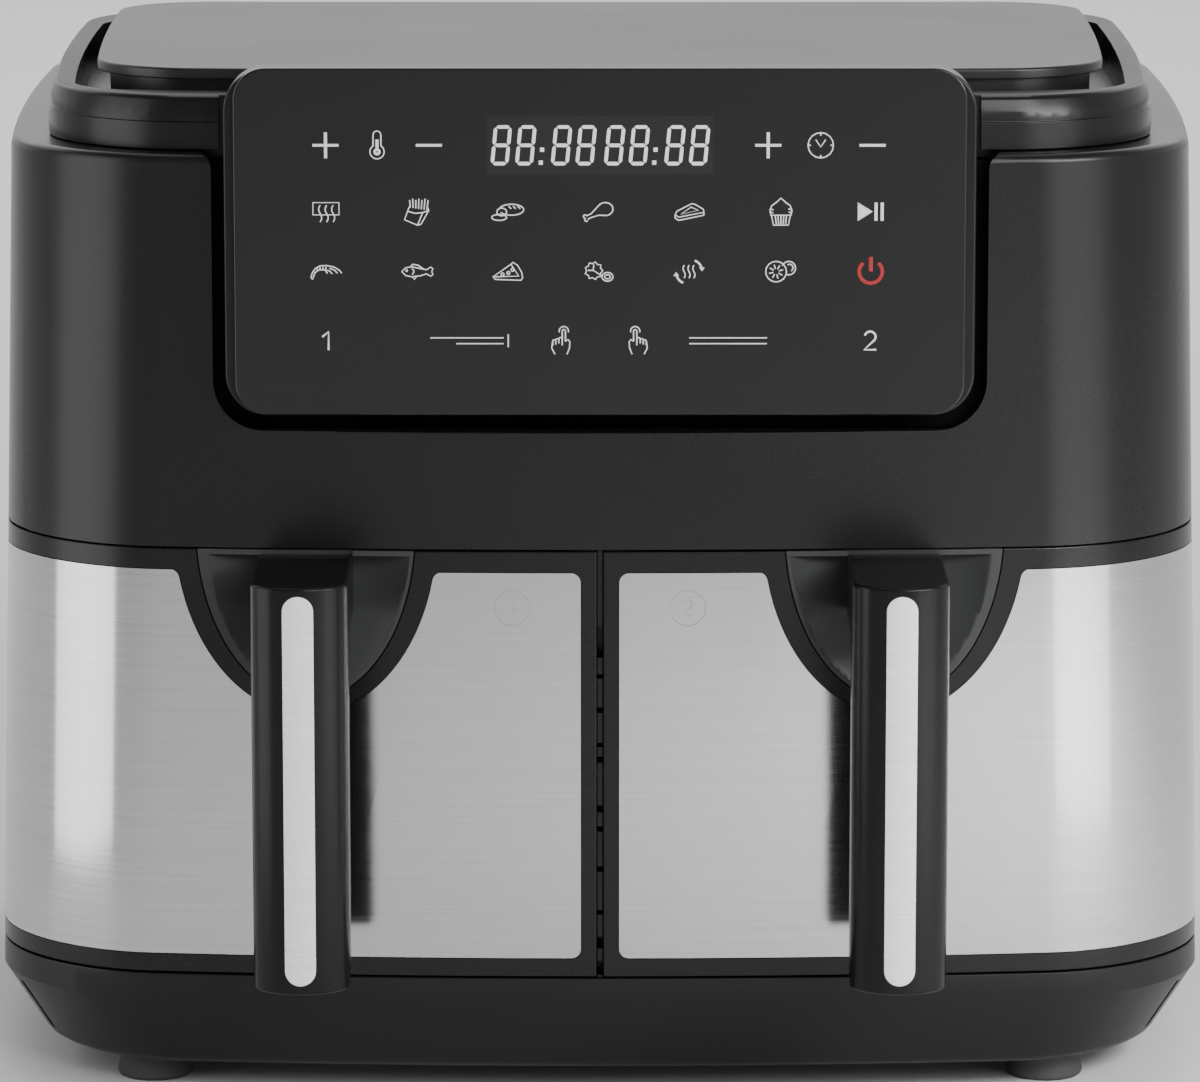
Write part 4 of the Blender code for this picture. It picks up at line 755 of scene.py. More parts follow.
# ---- the body's form --------------------------------------------------------------------
@dataclass(frozen=True)
class BodyForm:
    """The crown, bulge and draft that all the outer mouldings share."""

    front: float
    depth: float
    shoulder_z: float
    shoulder_half: float = 191.3 * MM
    draft: float = 0.0243
    crown_radius: float = 1450 * MM
    bulge_radius: float = 2227 * MM
    bulge_depth: float = 200 * MM
    front_radius: float = 50 * MM
    rear_radius: float = 42 * MM

    def half_width(self, z: float) -> float:
        """Return the widest half width at a height."""
        return self.shoulder_half + (self.shoulder_z - z) * self.draft

    def warp(self, co: Vector) -> Vector:
        """Bow a point of a straight-sided body to its place on the real one.

        Args:
            co: the point.

        Returns:
            Its place on the bowed body.
        """
        depth = co.y - self.front
        start = self.shoulder_half - self.front_radius
        spread = (self.shoulder_z - co.z) * self.draft * min(1.0, abs(co.x) / start)
        x = co.x + math.copysign(spread, co.x)
        narrowing = (depth - self.bulge_depth) ** 2 / (2 * self.bulge_radius)
        crown = x * x / (2 * self.crown_radius) * (1 - depth / self.depth)
        return Vector((x - narrowing * x / self.half_width(co.z), co.y + crown, co.z))

    def face_depth(self, x: float) -> float:
        """Return the world y of the front face at a width."""
        return self.front + x * x / (2 * self.crown_radius)

    def slab(self, name: str, side: float, front: float, rear: float, low: float, high: float,
             corners: tuple[float, float], segments: int = 14) -> Piece:
        """Return a straight-sided slab with rounded upright corners, sliced for bowing.

        Args:
            name: the new piece's name.
            side: its inset from the widest line of the shoulder.
            front: its inset from the front plane.
            rear: its inset from the back of the body.
            low: its bottom height.
            high: its top height.
            corners: the radii of the front and rear corners.
            segments: steps round each corner.

        Returns:
            The slab, not yet bowed.
        """
        half = self.shoulder_half - side
        y_front = self.front + front
        y_rear = self.front + self.depth - rear
        piece = block(name, (-half, y_front, low), (half, y_rear, high))
        for y, radius in ((y_front, corners[0]), (y_rear, corners[1])):
            if radius > 0:
                bevel(piece, lambda e, y=y: upright(e) and near(e.verts[0].co.y, y),
                      radius, segments)
        flat = half - corners[0]
        slice_across(piece, 0, [flat * step / 5 for step in range(-4, 5)])
        length = y_rear - y_front - corners[0] - corners[1]
        if length > 20 * MM:
            slice_across(piece, 1, [y_front + corners[0] + length * step / 6
                                    for step in range(1, 6)])
        return piece


def rim_at(piece: Piece, z: float, width: float, segments: int = 4) -> None:
    """Round the outer rim of a slab at one height."""
    bevel(piece, lambda e: level_at(e, z) and sharp(e), width, segments)


def plate_xz(name: str, low: Point, high: Point, front: float, back: float,
             radius: float, segments: int = 8, corners: Test = lambda co: True) -> Piece:
    """Return a plate facing the front, its corners rounded where a test says so.

    Args:
        name: the new piece's name.
        low: its lowest x and z.
        high: its highest x and z.
        front: its front's y.
        back: its back's y.
        radius: the radius of its corners.
        segments: steps round each corner.
        corners: says which corners are rounded.

    Returns:
        The plate.
    """
    piece = block(name, (low[0], front, low[1]), (high[0], back, high[1]))

    def across(edge: Any) -> bool:
        """Say whether an edge runs from front to back at a rounded corner."""
        first, second = (vertex.co for vertex in edge.verts)
        return near(first.x, second.x) and near(first.z, second.z) and corners(first)

    bevel(piece, across, radius, segments)
    return piece


# ---- sub-assemblies ---------------------------------------------------------------------
@dataclass
class Workshop:
    """What every sub-assembly needs: the palette and the body's form."""

    palette: Palette
    form: BodyForm

    def box(self, node: str) -> tuple[Vector, Vector]:
        """Return a frame node's lowest and highest corners."""
        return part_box(node)


@dataclass
class Housing:
    """The outer housing with its drawer mouth, console notch and rear opening."""

    shop: Workshop
    wall: float = 2.6 * MM
    edge: float = 3.0 * MM
    lip_z: float = 178 * MM
    mouth_depth: float = 61.8 * MM
    notch_half: float = 120 * MM
    notch_z: float = 215 * MM
    notch_radius: float = 15.4 * MM
    notch_depth: float = 19.7 * MM
    notch_edge: float = 0.7 * MM
    flare_radius: float = 4.6 * MM
    seam_edge: float = 0.5 * MM
    opening_inset: float = 34 * MM

    def build(self) -> None:
        """Build and dress the housing."""
        form = self.shop.form
        low, high = self.shop.box("outer_housing")
        shell = form.slab("outer_housing_shell", 0, 0, 0, low.z, high.z,
                          (form.front_radius, form.rear_radius))
        rim_at(shell, high.z, self.edge, 5)
        shape(shell, form.warp)
        inner = form.slab("housing_inside", self.wall, self.wall, self.wall, low.z - self.edge,
                          high.z - self.wall,
                          (form.front_radius - self.wall, form.rear_radius - self.wall))
        shape(inner, form.warp)
        combine(shell, inner)
        front = form.front
        reach = form.half_width(0) + self.edge
        combine(shell, block("mouth", (-reach, front - self.edge, 0),
                             (reach, front + self.mouth_depth, self.lip_z)))
        notch = plate_xz("notch", (-self.notch_half, self.notch_z),
                         (self.notch_half, high.z + 60 * MM), front - PAST,
                         front + self.notch_depth, self.notch_radius, 10,
                         lambda co: co.z < high.z)
        for side in (-1, 1):
            combine(notch, self.flare(side, high.z), "UNION")
        combine(shell, notch)
        inset = self.opening_inset
        opening = form.slab("shoulder_opening", inset, inset, inset, high.z - PAST,
                            high.z + PAST, (16 * MM, 8 * MM), 6)
        shape(opening, form.warp)
        combine(shell, opening)
        self.cut_rear(shell)
        self.soften_edges(shell, high.z)
        self.shop.palette.dress(finished(shell, 38), Finish.HOUSING)
        stands_for(shell, "housing", "outer_housing")
        self.shop.palette.dress_node("centre_post", Finish.FRAME)

    def flare(self, side: int, top: float) -> Piece:
        """Return the tool that rounds the shoulder down into one side of the notch.

        Args:
            side: -1 for the left and 1 for the right.
            top: the shoulder's height.

        Returns:
            The tool.
        """
        form, radius = self.shop.form, self.flare_radius
        inner, outer = side * (self.notch_half - MM), side * (self.notch_half + radius)
        front, back = form.front - PAST, form.front + self.notch_depth
        tool = block("flare", (min(inner, outer), front, top - radius),
                     (max(inner, outer), back, top + 60 * MM))
        round_edge = drum("flare_round", (outer, (front + back) / 2, top - radius),
                          (radius, radius), 2 * (back - front), 64, (math.pi / 2, 0, 0))
        return combine(tool, round_edge)

    def cut_rear(self, shell: Piece) -> None:
        """Open the rear wall for the vented cover.

        Args:
            shell: the housing.
        """
        low, high = self.shop.box("rear_cover")
        combine(shell, plate_xz("rear_opening", (low.x - FIT, low.z - FIT),
                                (high.x + FIT, high.z + FIT), low.y - PAST,
                                high.y + PAST, 6 * MM, 6))

    def soften_edges(self, shell: Piece, top: float) -> None:
        """Round the outer edges of the notch and of the drawer mouth.

        Args:
            shell: the housing.
            top: the shoulder's height.
        """
        form = self.shop.form

        def on_face(co: Vector) -> bool:
            """Say whether a point lies on the outer front face."""
            return co.y < form.face_depth(co.x) + 0.3 * MM

        def notch_edge(edge: Any) -> bool:
            """Say whether an edge is the outer border of the notch.

            Args:
                edge: the edge.

            Returns:
                True if it is.
            """
            points = [vertex.co for vertex in edge.verts]
            inside = all(abs(co.x) < self.notch_half + 0.2 * MM for co in points)
            high = all(self.notch_z - 0.2 * MM < co.z < top - 4 * MM for co in points)
            return inside and high and all(map(on_face, points)) and sharp(edge)

        bevel(shell, notch_edge, self.notch_edge, 3)

        def lip(edge: Any) -> bool:
            """Say whether an edge is the outer border of the front lip."""
            outer = [form.half_width(v.co.z) - abs(v.co.x) < 14 * MM or on_face(v.co)
                     for v in edge.verts]
            return level_at(edge, self.lip_z) and sharp(edge) and all(outer)

        bevel(shell, lip, self.seam_edge, 2)


@dataclass
class Top:
    """The raised collar round the top and the lid plate standing in it."""

    shop: Workshop
    side: float = 12.4 * MM
    front: float = 8.2 * MM
    rear: float = 14 * MM
    corner: float = 44 * MM
    step_height: float = 9.1 * MM
    step: float = 0.9 * MM
    slope: float = 1.6 * MM
    top_edge: float = 1.8 * MM
    rims: tuple[float, float, float] = (9.2 * MM, 15.5 * MM, 38 * MM)
    recess_corner: float = 20 * MM
    deck: float = 4.9 * MM
    lid_gaps: tuple[float, float, float] = (7.4 * MM, 1.4 * MM, 8.5 * MM)
    lid_corner: float = 30 * MM
    lid_edge: float = 1.0 * MM
    skirt_inset: float = 4 * MM
    skirt_wall: float = 2.6 * MM

    def build(self) -> None:
        """Build and dress the collar and the lid."""
        self.build_collar()
        self.build_lid()

    def ring(self, name: str, inset: float, low: float, high: float) -> Piece:
        """Return a slab with the collar's outline, moved inwards."""
        corner = self.corner - inset
        return self.shop.form.slab(name, self.side + inset, self.front + inset,
                                   self.rear + inset, low, high, (corner, corner), 12)

    def build_collar(self) -> None:
        """Build the stepped, sloping collar, hollowed for the lid and the console."""
        form = self.shop.form
        low, high = self.shop.box("top_collar")
        step_z = low.z + self.step_height
        bead = self.ring("top_collar_bead", 0, low.z, high.z)
        slice_across(bead, 2, [step_z])

        def slope(co: Vector) -> Vector:
            """Draw the top edge inwards so that the sides above the step lean back.

            Args:
                co: the point.

            Returns:
                Its place on the leaning side.
            """
            if not near(co.z, high.z):
                return co
            middle = form.front + (self.front + form.depth - self.rear) / 2
            wide = 1 - (self.step + self.slope) / (form.shoulder_half - self.side)
            deep = 1 - 2 * (self.step + self.slope) / (form.depth - self.front - self.rear)
            return Vector((co.x * wide, middle + (co.y - middle) * deep, co.z))

        shape(bead, slope)
        rim_at(bead, high.z, self.top_edge, 5)
        rim_at(bead, low.z, self.step / 2, 2)
        shape(bead, form.warp)
        ledge = self.ring("ledge", -2 * self.step, step_z - self.step / 2, high.z + PAST)
        kept = self.ring("kept", self.step, step_z - self.step, high.z + 20 * MM)
        for tool in (ledge, kept):
            shape(tool, form.warp)
        combine(ledge, kept)
        combine(bead, ledge)
        side, front, rear = self.rims
        recess = form.slab("recess", self.side + side, self.front + front, self.rear + rear,
                           low.z + self.deck, high.z + PAST,
                           (self.recess_corner, self.recess_corner), 12)
        shape(recess, form.warp)
        combine(bead, recess)
        hollow = self.ring("collar_hollow", 8 * MM, low.z - PAST, low.z + self.deck - 2.4 * MM)
        shape(hollow, form.warp)
        combine(bead, hollow)
        bezel = self.shop.box("panel_bezel")
        reach = bezel[1].x + 2.1 * MM
        combine(bead, block("console_gap", (-reach, form.front - PAST, low.z - PAST),
                            (reach, bezel[1].y + 3.2 * MM, high.z + PAST)))
        bevel(bead, lambda e: level_at(e, high.z) and sharp(e, 60), 0.7 * MM, 3)
        bevel(bead, lambda e: level_at(e, step_z - self.step / 2) and sharp(e), 0.35 * MM, 2)
        self.shop.palette.dress(finished(bead, 40), Finish.HOUSING)
        # The upward faces of the collar's upper half get the grey copy of the black plastic: a
        # painted sheen standing in for the sky's reflection.
        bead.data.materials.append(self.shop.palette.material(Finish.RIM))
        for face in bead.data.polygons:
            if face.normal.z > 0.8 and face.center.z > step_z + 0.5 * (high.z - step_z):
                face.material_index = 1
        stands_for(bead, "housing", "top_collar")

    def build_lid(self) -> None:
        """Build the thin plate with its softened edge and the skirt under it."""
        form = self.shop.form
        low, high = self.shop.box("top_cover")
        side, front, rear = (rim + gap for rim, gap in zip(self.rims, self.lid_gaps))
        insets = (self.side + side, self.front + front, self.rear + rear)
        under = high.z - 3.5 * MM
        plate = form.slab("top_cover_plate", *insets, under, high.z,
                          (self.lid_corner, self.lid_corner), 14)
        rim_at(plate, high.z, self.lid_edge, 5)
        rim_at(plate, under, 0.5 * MM, 2)
        shape(plate, form.warp)
        skirt_insets = [inset + self.skirt_inset for inset in insets]
        corner = self.lid_corner - self.skirt_inset
        skirt = form.slab("skirt", *skirt_insets, low.z, under + MM, (corner, corner), 8)
        shape(skirt, form.warp)
        combine(plate, skirt, "UNION")
        hollow_insets = [inset + self.skirt_wall for inset in skirt_insets]
        corner -= self.skirt_wall
        hollow = form.slab("hollow", *hollow_insets, low.z - PAST, under,
                           (corner, corner), 8)
        shape(hollow, form.warp)
        combine(plate, hollow)
        self.shop.palette.dress(finished(plate, 40), Finish.LID)
        stands_for(plate, "housing", "top_cover")


@dataclass
class Base:
    """The tapered base tray with its side vents, and the four rubber feet."""

    shop: Workshop
    skirt_z: float = 32.6 * MM
    front_taper: float = 10.2 * MM
    side_taper: float = 15.5 * MM
    wall: float = 2.6 * MM
    edge: float = 2.4 * MM
    slots: int = 7
    slot_first: float = 31 * MM
    slot_pitch: float = 24 * MM
    slot_size: tuple[float, float, float] = (12 * MM, 3.2 * MM, 20 * MM)
    slot_edge: float = 1.3 * MM
    foot_edge: float = 1.6 * MM
    foot_groove: tuple[float, float] = (5.2 * MM, 6.4 * MM)
    foot_waist: float = 0.94

    def build(self) -> None:
        """Build and dress the tray, the deck and the feet."""
        form = self.shop.form
        low, high = self.shop.box("base_tray")
        tray = form.slab("base_tray_shell", 0, 0, 0, low.z, high.z,
                         (form.front_radius, form.rear_radius))
        rim_at(tray, low.z, self.edge, 3)
        slice_across(tray, 2, [self.skirt_z])
        rim_at(tray, high.z, 0.5 * MM, 2)
        shape(tray, lambda co: form.warp(self.tapered(co, low.z)))
        hollow = form.slab("tray_inside", self.wall, self.wall, self.wall,
                           low.z + self.wall, high.z + PAST,
                           (form.front_radius - self.wall, form.rear_radius - self.wall))
        slice_across(hollow, 2, [self.skirt_z])
        shape(hollow, lambda co: form.warp(self.tapered(co, low.z)))
        combine(tray, hollow)
        for side in (-1, 1):
            for index in range(self.slots):
                combine(tray, self.slot(side, self.slot_first + index * self.slot_pitch, low.z))
        self.shop.palette.dress(finished(tray, 30), Finish.BASE)
        stands_for(tray, "housing", "base_tray")
        self.shop.palette.dress_node("base_deck", Finish.INNER)
        for row in ("front", "rear"):
            for side in ("left", "right"):
                self.foot(f"foot_{row}_{side}")

    def tapered(self, co: Vector, low: float) -> Vector:
        """Draw a point below the skirt line inwards.

        Args:
            co: the point.
            low: the tray's lowest height.

        Returns:
            Its place on the tapered tray.
        """
        form = self.shop.form
        share = max(0.0, (self.skirt_z - co.z) / (self.skirt_z - low))
        middle = form.front + form.depth / 2
        x = co.x * (1 - share * self.side_taper / form.shoulder_half)
        y = middle + (co.y - middle) * (1 - share * self.front_taper * 2 / form.depth)
        return Vector((x, y, co.z))

    def slot(self, side: int, depth: float, low: float) -> Piece:
        """Return the tool of one leaning vent slot.

        Args:
            side: -1 for the left and 1 for the right.
            depth: how far behind the front plane it is.
            low: the tray's lowest height.

        Returns:
            The tool.
        """
        form = self.shop.form
        height = self.skirt_z - low
        middle = low + height / 2
        radius, inset = form.front_radius, self.side_taper / 2
        aside = math.asin(max(0.0, radius - depth) / radius)
        reach = radius * (1 - math.cos(aside)) + inset * math.cos(aside)
        x = form.shoulder_half - reach
        y = form.front + depth + inset * math.sin(aside)
        place = form.warp(Vector((side * x, y, middle)))
        turn = Matrix.Rotation(-side * aside, 3, "Z")
        turn @= Matrix.Rotation(side * math.atan2(self.side_taper, height), 3, "Y")
        bpy.ops.object.select_all(action="DESELECT")
        bpy.ops.mesh.primitive_cube_add(size=1, location=place, scale=self.slot_size,
                                        rotation=turn.to_euler())
        tool = settled("slot")
        bevel(tool, lambda e: near(e.calc_length(), self.slot_size[0], MM), self.slot_edge, 4)
        return tool

    def foot(self, node: str) -> None:
        """Build one turned rubber foot with a groove round it.

        Args:
            node: the foot's frame node.
        """
        low, high = self.shop.box(node)
        centre = (low + high) / 2
        radius = (high.x - low.x) / 2
        foot = drum(f"{node}_rubber", centre, (radius, radius), high.z - low.z, 48)
        rim_at(foot, low.z, self.foot_edge, 4)
        borders = [low.z + height for height in self.foot_groove]
        slice_across(foot, 2, borders)

        def groove(co: Vector) -> Vector:
            """Draw the ring between the two slices inwards.

            Args:
                co: the point.

            Returns:
                Its place on the waisted foot.
            """
            if not any(near(co.z, border, 0.1 * MM) for border in borders):
                return co
            return Vector((centre.x + (co.x - centre.x) * self.foot_waist,
                           centre.y + (co.y - centre.y) * self.foot_waist, co.z))

        shape(foot, groove)
        self.shop.palette.dress(finished(foot, 40), Finish.RUBBER)
        stands_for(foot, "housing", node)


class Nib(Enum):
    """Stroke half widths of the printed symbols."""

    FINE = 0.20 * MM
    NUMERAL = 0.36 * MM
    BOLD = 0.48 * MM
    SEGMENT = 0.63 * MM


@dataclass
class Pen:
    """Collects strokes on the panel's plane and turns them into one flat raised mesh."""

    name: str
    y: float
    strokes: list[tuple[Nib, bool, list[tuple[float, float]]]] = field(default_factory=list)
    centre: tuple[float, float] = (0.0, 0.0)
    size: float = MM

    def at(self, x: float, z: float) -> Pen:
        """Move the pen's own centre."""
        self.centre = (x, z)
        return self

    def line(self, *points: tuple[float, float], nib: Nib = Nib.FINE, closed: bool = False) -> Pen:
        """Draw straight strokes through points in millimetres from the pen's centre.

        Args:
            points: the stroke's points.
            nib: its half width.
            closed: whether it ends where it starts.

        Returns:
            The pen.
        """
        placed = [(self.centre[0] + x * self.size, self.centre[1] + z * self.size)
                  for x, z in points]
        self.strokes.append((nib, closed, placed))
        return self

    def arc(self, x: float, z: float, radius: float, start: float, end: float,
            nib: Nib = Nib.FINE, tall: float = 1.0) -> Pen:
        """Draw an arc between two angles in degrees.

        Args:
            x: its centre's x.
            z: its centre's z.
            radius: its half width.
            start: the first angle.
            end: the last angle.
            nib: the stroke's half width.
            tall: its height as a share of its width.

        Returns:
            The pen.
        """
        steps = max(5, int(abs(end - start) / 22))
        turns = [math.radians(start + (end - start) * i / steps) for i in range(steps + 1)]
        whole = abs(end - start) >= 360
        points = [(x + radius * math.cos(a), z + radius * tall * math.sin(a)) for a in turns]
        return self.line(*(points[:-1] if whole else points), nib=nib, closed=whole)

    def wave(self, x: float, z: float, height: float, width: float = 0.5) -> Pen:
        """Draw an upright wavy stroke."""
        points = [(x + width * math.sin(step * math.pi / 3), z + height * (step / 6 - 0.5))
                  for step in range(7)]
        return self.line(*points)

    def mesh(self, height: float = 0.12 * MM) -> Piece:
        """Return all strokes as one mesh standing just proud of the plane.

        Args:
            height: how far it stands proud.

        Returns:
            The mesh.
        """
        made = []
        for nib, closed, points in self.strokes:
            curve = bpy.data.curves.new(self.name, "CURVE")
            curve.dimensions = "3D"
            curve.bevel_depth = nib.value
            curve.bevel_resolution = 1
            curve.use_fill_caps = True
            spline = curve.splines.new("POLY")
            spline.points.add(len(points) - 1)
            spline.use_cyclic_u = closed
            for target, (x, z) in zip(spline.points, points):
                target.co = (x, self.y, z, 1)
            if nib is Nib.SEGMENT and len(points) == 4:
                spline.points[0].radius = spline.points[-1].radius = 0.3
            stroke = bpy.data.objects.new(self.name, curve)
            bpy.context.collection.objects.link(stroke)
            made.append(stroke)
        bpy.ops.object.select_all(action="DESELECT")
        for stroke in made:
            stroke.select_set(True)
        bpy.context.view_layer.objects.active = made[0]
        bpy.ops.object.convert(target="MESH")
        bpy.ops.object.join()
        piece = bpy.context.object
        piece.name = self.name
        piece.data.name = self.name
        flat = height / Nib.BOLD.value
        shape(piece, lambda co: Vector((co.x, self.y + (co.y - self.y) * flat, co.z)))
        return finished(piece, 60)


@dataclass
class Console:
    """The control panel: glass, bezel, tray, printed symbols and display."""

    shop: Workshop
    corner: float = 10 * MM
    band: float = 3.1 * MM
    glass_edge: float = 0.7 * MM
    bezel_edge: float = 0.8 * MM
    bezel_rim: float = 7 * MM
    bezel_back: float = 2.6 * MM
    columns: tuple[float, ...] = (-84.2, -56.2, -28.3, -0.5, 27.4, 55.6, 83.3)
    rows: tuple[float, ...] = (304.9, 284.4, 265.8, 244.3)
    window: tuple[float, float] = (34.8, 9.0)
    digit_pitch: float = 7.55
    group_pitch: float = 34.8
    first_digit: float = -30.3

    def build(self) -> None:
        """Build and dress the whole console."""
        palette = self.shop.palette
        low, high = self.shop.box("panel_glass")
        glass = plate_xz("panel_glass_front", (low.x, low.z), (high.x, high.z), low.y, high.y,
                         self.corner, 12)
        bevel(glass, lambda e: sharp(e, 60) and all(near(v.co.y, low.y) for v in e.verts),
              self.glass_edge, 4)
        finished(glass, 40)
        wide, tall = (size * MM for size in self.window)
        window_z = self.rows[0] * MM
        glass_finish = PanelGlass("panel_smooth_black", (-wide, window_z - tall),
                                  (wide, window_z + tall))
        glass.data.materials.clear()
        glass.data.materials.append(glass_finish.material())
        stands_for(glass, "housing", "panel_glass")
        self.build_bezel()
        # The console carrier, seen only down the gap round the panel, is painted near-black:
        # painted shade.
        palette.dress_node("console_carrier", Finish.GROOVE)
        palette.dress_node("display_board", Finish.BOARD)
        y = low.y - 0.02 * MM
        palette.dress(self.buttons(y), Finish.WHITE_INK)
        palette.dress(self.foods(y), Finish.WHITE_INK)
        palette.dress(self.power(y), Finish.RED_INK)
        palette.dress(self.display(y), Finish.DIGITS)

    def build_bezel(self) -> None:
        """Build the hollow bezel behind the glass."""
        low, high = self.shop.box("panel_bezel")
        corner = self.corner + self.band
        bezel = plate_xz("panel_bezel_moulding", (low.x, low.z), (high.x, high.z), low.y, high.y,
                         corner, 12)
        for y in (low.y, high.y):
            bevel(bezel, lambda e, y=y: sharp(e, 60) and all(near(v.co.y, y) for v in e.verts),
                  self.bezel_edge, 3)
        rim = self.bezel_rim
        combine(bezel, block("pocket", (low.x + rim, low.y - PAST, low.z + rim),
                             (high.x - rim, high.y - self.bezel_back, high.z - rim)))
        self.shop.palette.dress(finished(bezel, 40), Finish.HOUSING)
        stands_for(bezel, "housing", "panel_bezel")

    def spot(self, pen: Pen, column: int, row: int) -> Pen:
        """Move a pen to one place of the symbol grid."""
        return pen.at(self.columns[column] * MM, self.rows[row] * MM)

    def buttons(self, y: float) -> Piece:
        """Draw the plus, minus, thermometer, clock, play, digit and hand symbols.

        Args:
            y: the depth of the panel's face.

        Returns:
            The symbols' raised mesh.
        """
        pen = Pen("panel_buttons", y)
        row = self.rows[0] * MM
        for x in (-84.2, 51.6):
            pen.at(x * MM, row).line((-4, 0), (4, 0), nib=Nib.BOLD).line((0, -4), (0, 4),
                                                                        nib=Nib.BOLD)
        for x in (-52.5, 83.6):
            pen.at(x * MM, row).line((-4, 0), (4, 0), nib=Nib.BOLD)
        pen.at(-68.4 * MM, row).arc(0, -2.0, 2.2, 125, 415).line((-1.2, -0.3), (-1.2, 3.2))
        pen.line((1.2, -0.3), (1.2, 3.2)).arc(0, 3.2, 1.2, 0, 180)
        pen.arc(0, -2.0, 0.7, 0, 360, Nib.BOLD).line((0, -1.4), (0, 1.8), nib=Nib.BOLD)
        pen.at(67.7 * MM, row).arc(0, 0, 3.9, 0, 360).line((-1.5, 1.7), (0, -0.5), (1.5, 1.7))
        for turn in (0, 90, 180, 270):
            a = math.radians(turn)
            pen.line((3.0 * math.cos(a), 3.0 * math.sin(a)), (3.7 * math.cos(a), 3.7 * math.sin(a)))
        self.spot(pen, 6, 1).line((-4.0, -2.7), (-4.0, 2.7), (0.3, 0), closed=True)
        for x, reach in ((-3.6, 2.2), (-2.8, 1.7), (-2.0, 1.2), (-1.2, 0.7), (-0.5, 0.3)):
            pen.line((x, -reach), (x, reach), nib=Nib.BOLD)
        for x in (1.5, 3.4):
            pen.line((x, -2.8), (x, 2.8), nib=Nib.BOLD)
        pen.at(-84.0 * MM, self.rows[3] * MM)
        pen.line((-1.6, 1.2), (0.3, 2.8), (0.3, -2.9), nib=Nib.NUMERAL)
        pen.at(83.3 * MM, self.rows[3] * MM).arc(0, 1.2, 1.7, 165, -25, Nib.NUMERAL)
        pen.line((1.5, 0.4), (-1.8, -2.8), (1.9, -2.8), nib=Nib.NUMERAL)
        for x, flip in ((-12.1, 1), (11.8, -1)):
            self.hand(pen.at(x * MM, self.rows[3] * MM), flip)
        self.finish_mark(pen.at(-40.3 * MM, self.rows[3] * MM))
        self.match_mark(pen.at(39.5 * MM, self.rows[3] * MM))
        return stands_for(pen.mesh(), "housing")

    def hand(self, pen: Pen, flip: int) -> None:
        """Draw a hand whose raised finger taps a point.

        Args:
            pen: a pen placed at the symbol's middle.
            flip: 1, or -1 for its mirror image.
        """
        pen.arc(flip * 0.95, 3.0, 1.45, -15, 195).arc(flip * 0.95, 3.0, 0.5, 0, 180)
        pen.line((flip * 0.45, -1.4), (flip * 0.45, 3.0))
        pen.line((flip * 1.45, -0.2), (flip * 1.45, 3.0))
        pen.line((flip * 1.45, -0.2), (flip * 2.2, 0.4), (flip * 2.8, -0.3), (flip * 2.7, -2.2),
                 (flip * 1.9, -4.2))
        for step in range(3):
            x, z = -0.1 - 0.95 * step, 0.5 - 0.35 * step
            pen.arc(flip * x, z, 0.5, 0, 180)
            pen.line((flip * (x - 0.5), z), (flip * (x - 0.5), z - 1.3))
        pen.line((flip * -2.55, -0.4), (flip * -2.8, -2.3), (flip * -1.8, -4.2))

    def finish_mark(self, pen: Pen) -> None:
        """Draw two bars of unequal length that end together."""
        pen.line((-12, 0.9), (10.6, 0.9)).line((-4, -0.9), (10.6, -0.9))
        pen.line((12, -2), (12, 2))

    def match_mark(self, pen: Pen) -> None:
        """Draw two bars of equal length side by side."""
        pen.line((-12, 0.9), (12, 0.9)).line((-12, -0.9), (12, -0.9))

    def foods(self, y: float) -> Piece:
        """Draw the two rows of cooking symbols.

        Args:
            y: the depth of the panel's face.

        Returns:
            The symbols' raised mesh.
        """
        pen = Pen("panel_programs", y)
        self.spot(pen, 0, 1).line((-4, -1.0), (-4, 2.8), (4, 2.8), (4, -1.0), closed=True)
        for x in (-1.8, 0.2, 2.2):
            pen.wave(x, -0.6, 5.2)
        upper = (self.fries, self.bread, self.drumstick, self.steak, self.cupcake)
        lower = (self.shrimp, self.fish, self.pizza, self.greens, self.reheat, self.slices)
        for row, first, symbols in ((1, 1, upper), (2, 0, lower)):
            for column, draw in enumerate(symbols, first):
                draw(self.spot(pen, column, row))
        return stands_for(pen.mesh(), "housing")

    def fries(self, pen: Pen) -> None:
        """Draw a leaning box of fries.

        Args:
            pen: a pen placed at the symbol's middle.
        """
        pen.line((-2.4, 1.5), (-3.9, -2.5), (0.1, -4.2), (1.2, -3.9), (3.6, 0.4), (3.1, 1.6))
        pen.line((-2.9, 0.1), (-0.6, -0.5), (1.7, -0.3), (3.6, 0.4)).line((1.7, -0.3), (0.1, -4.2))
        for step in range(7):
            foot = -2.1 + 0.85 * step
            pen.line((foot, 1.3 - 0.14 * step), (foot + 0.1 * step - 0.2, 3.6 + 0.4 * (step % 2)))

    def bread(self, pen: Pen) -> None:
        """Draw a loaf with a cut slice.

        Args:
            pen: a pen placed at the symbol's middle.
        """
        pen.arc(1.1, 0.6, 3.8, -150, 165, tall=0.45).arc(-1.9, -0.1, 1.5, 0, 360, tall=0.8)
        pen.arc(-2.7, -1.8, 2.3, 0, 360, tall=0.4)
        for x in (0.2, 1.6, 3.0):
            pen.line((x, 1.7), (x + 0.8, 0.9))

    def drumstick(self, pen: Pen) -> None:
        """Draw a chicken leg.

        Args:
            pen: a pen placed at the symbol's middle.
        """
        pen.arc(2.1, 0.8, 2.4, -75, 150, tall=0.85).line((2.7, -1.2), (0.2, -1.1), (-1.9, -1.7))
        pen.line((0.0, 1.8), (-2.3, -0.7), (-3.7, -1.3)).line((-1.9, -1.7), (-3.2, -2.3))
        pen.arc(-4.1, -1.5, 0.5, 20, 250).arc(-3.7, -2.5, 0.5, 110, 330)

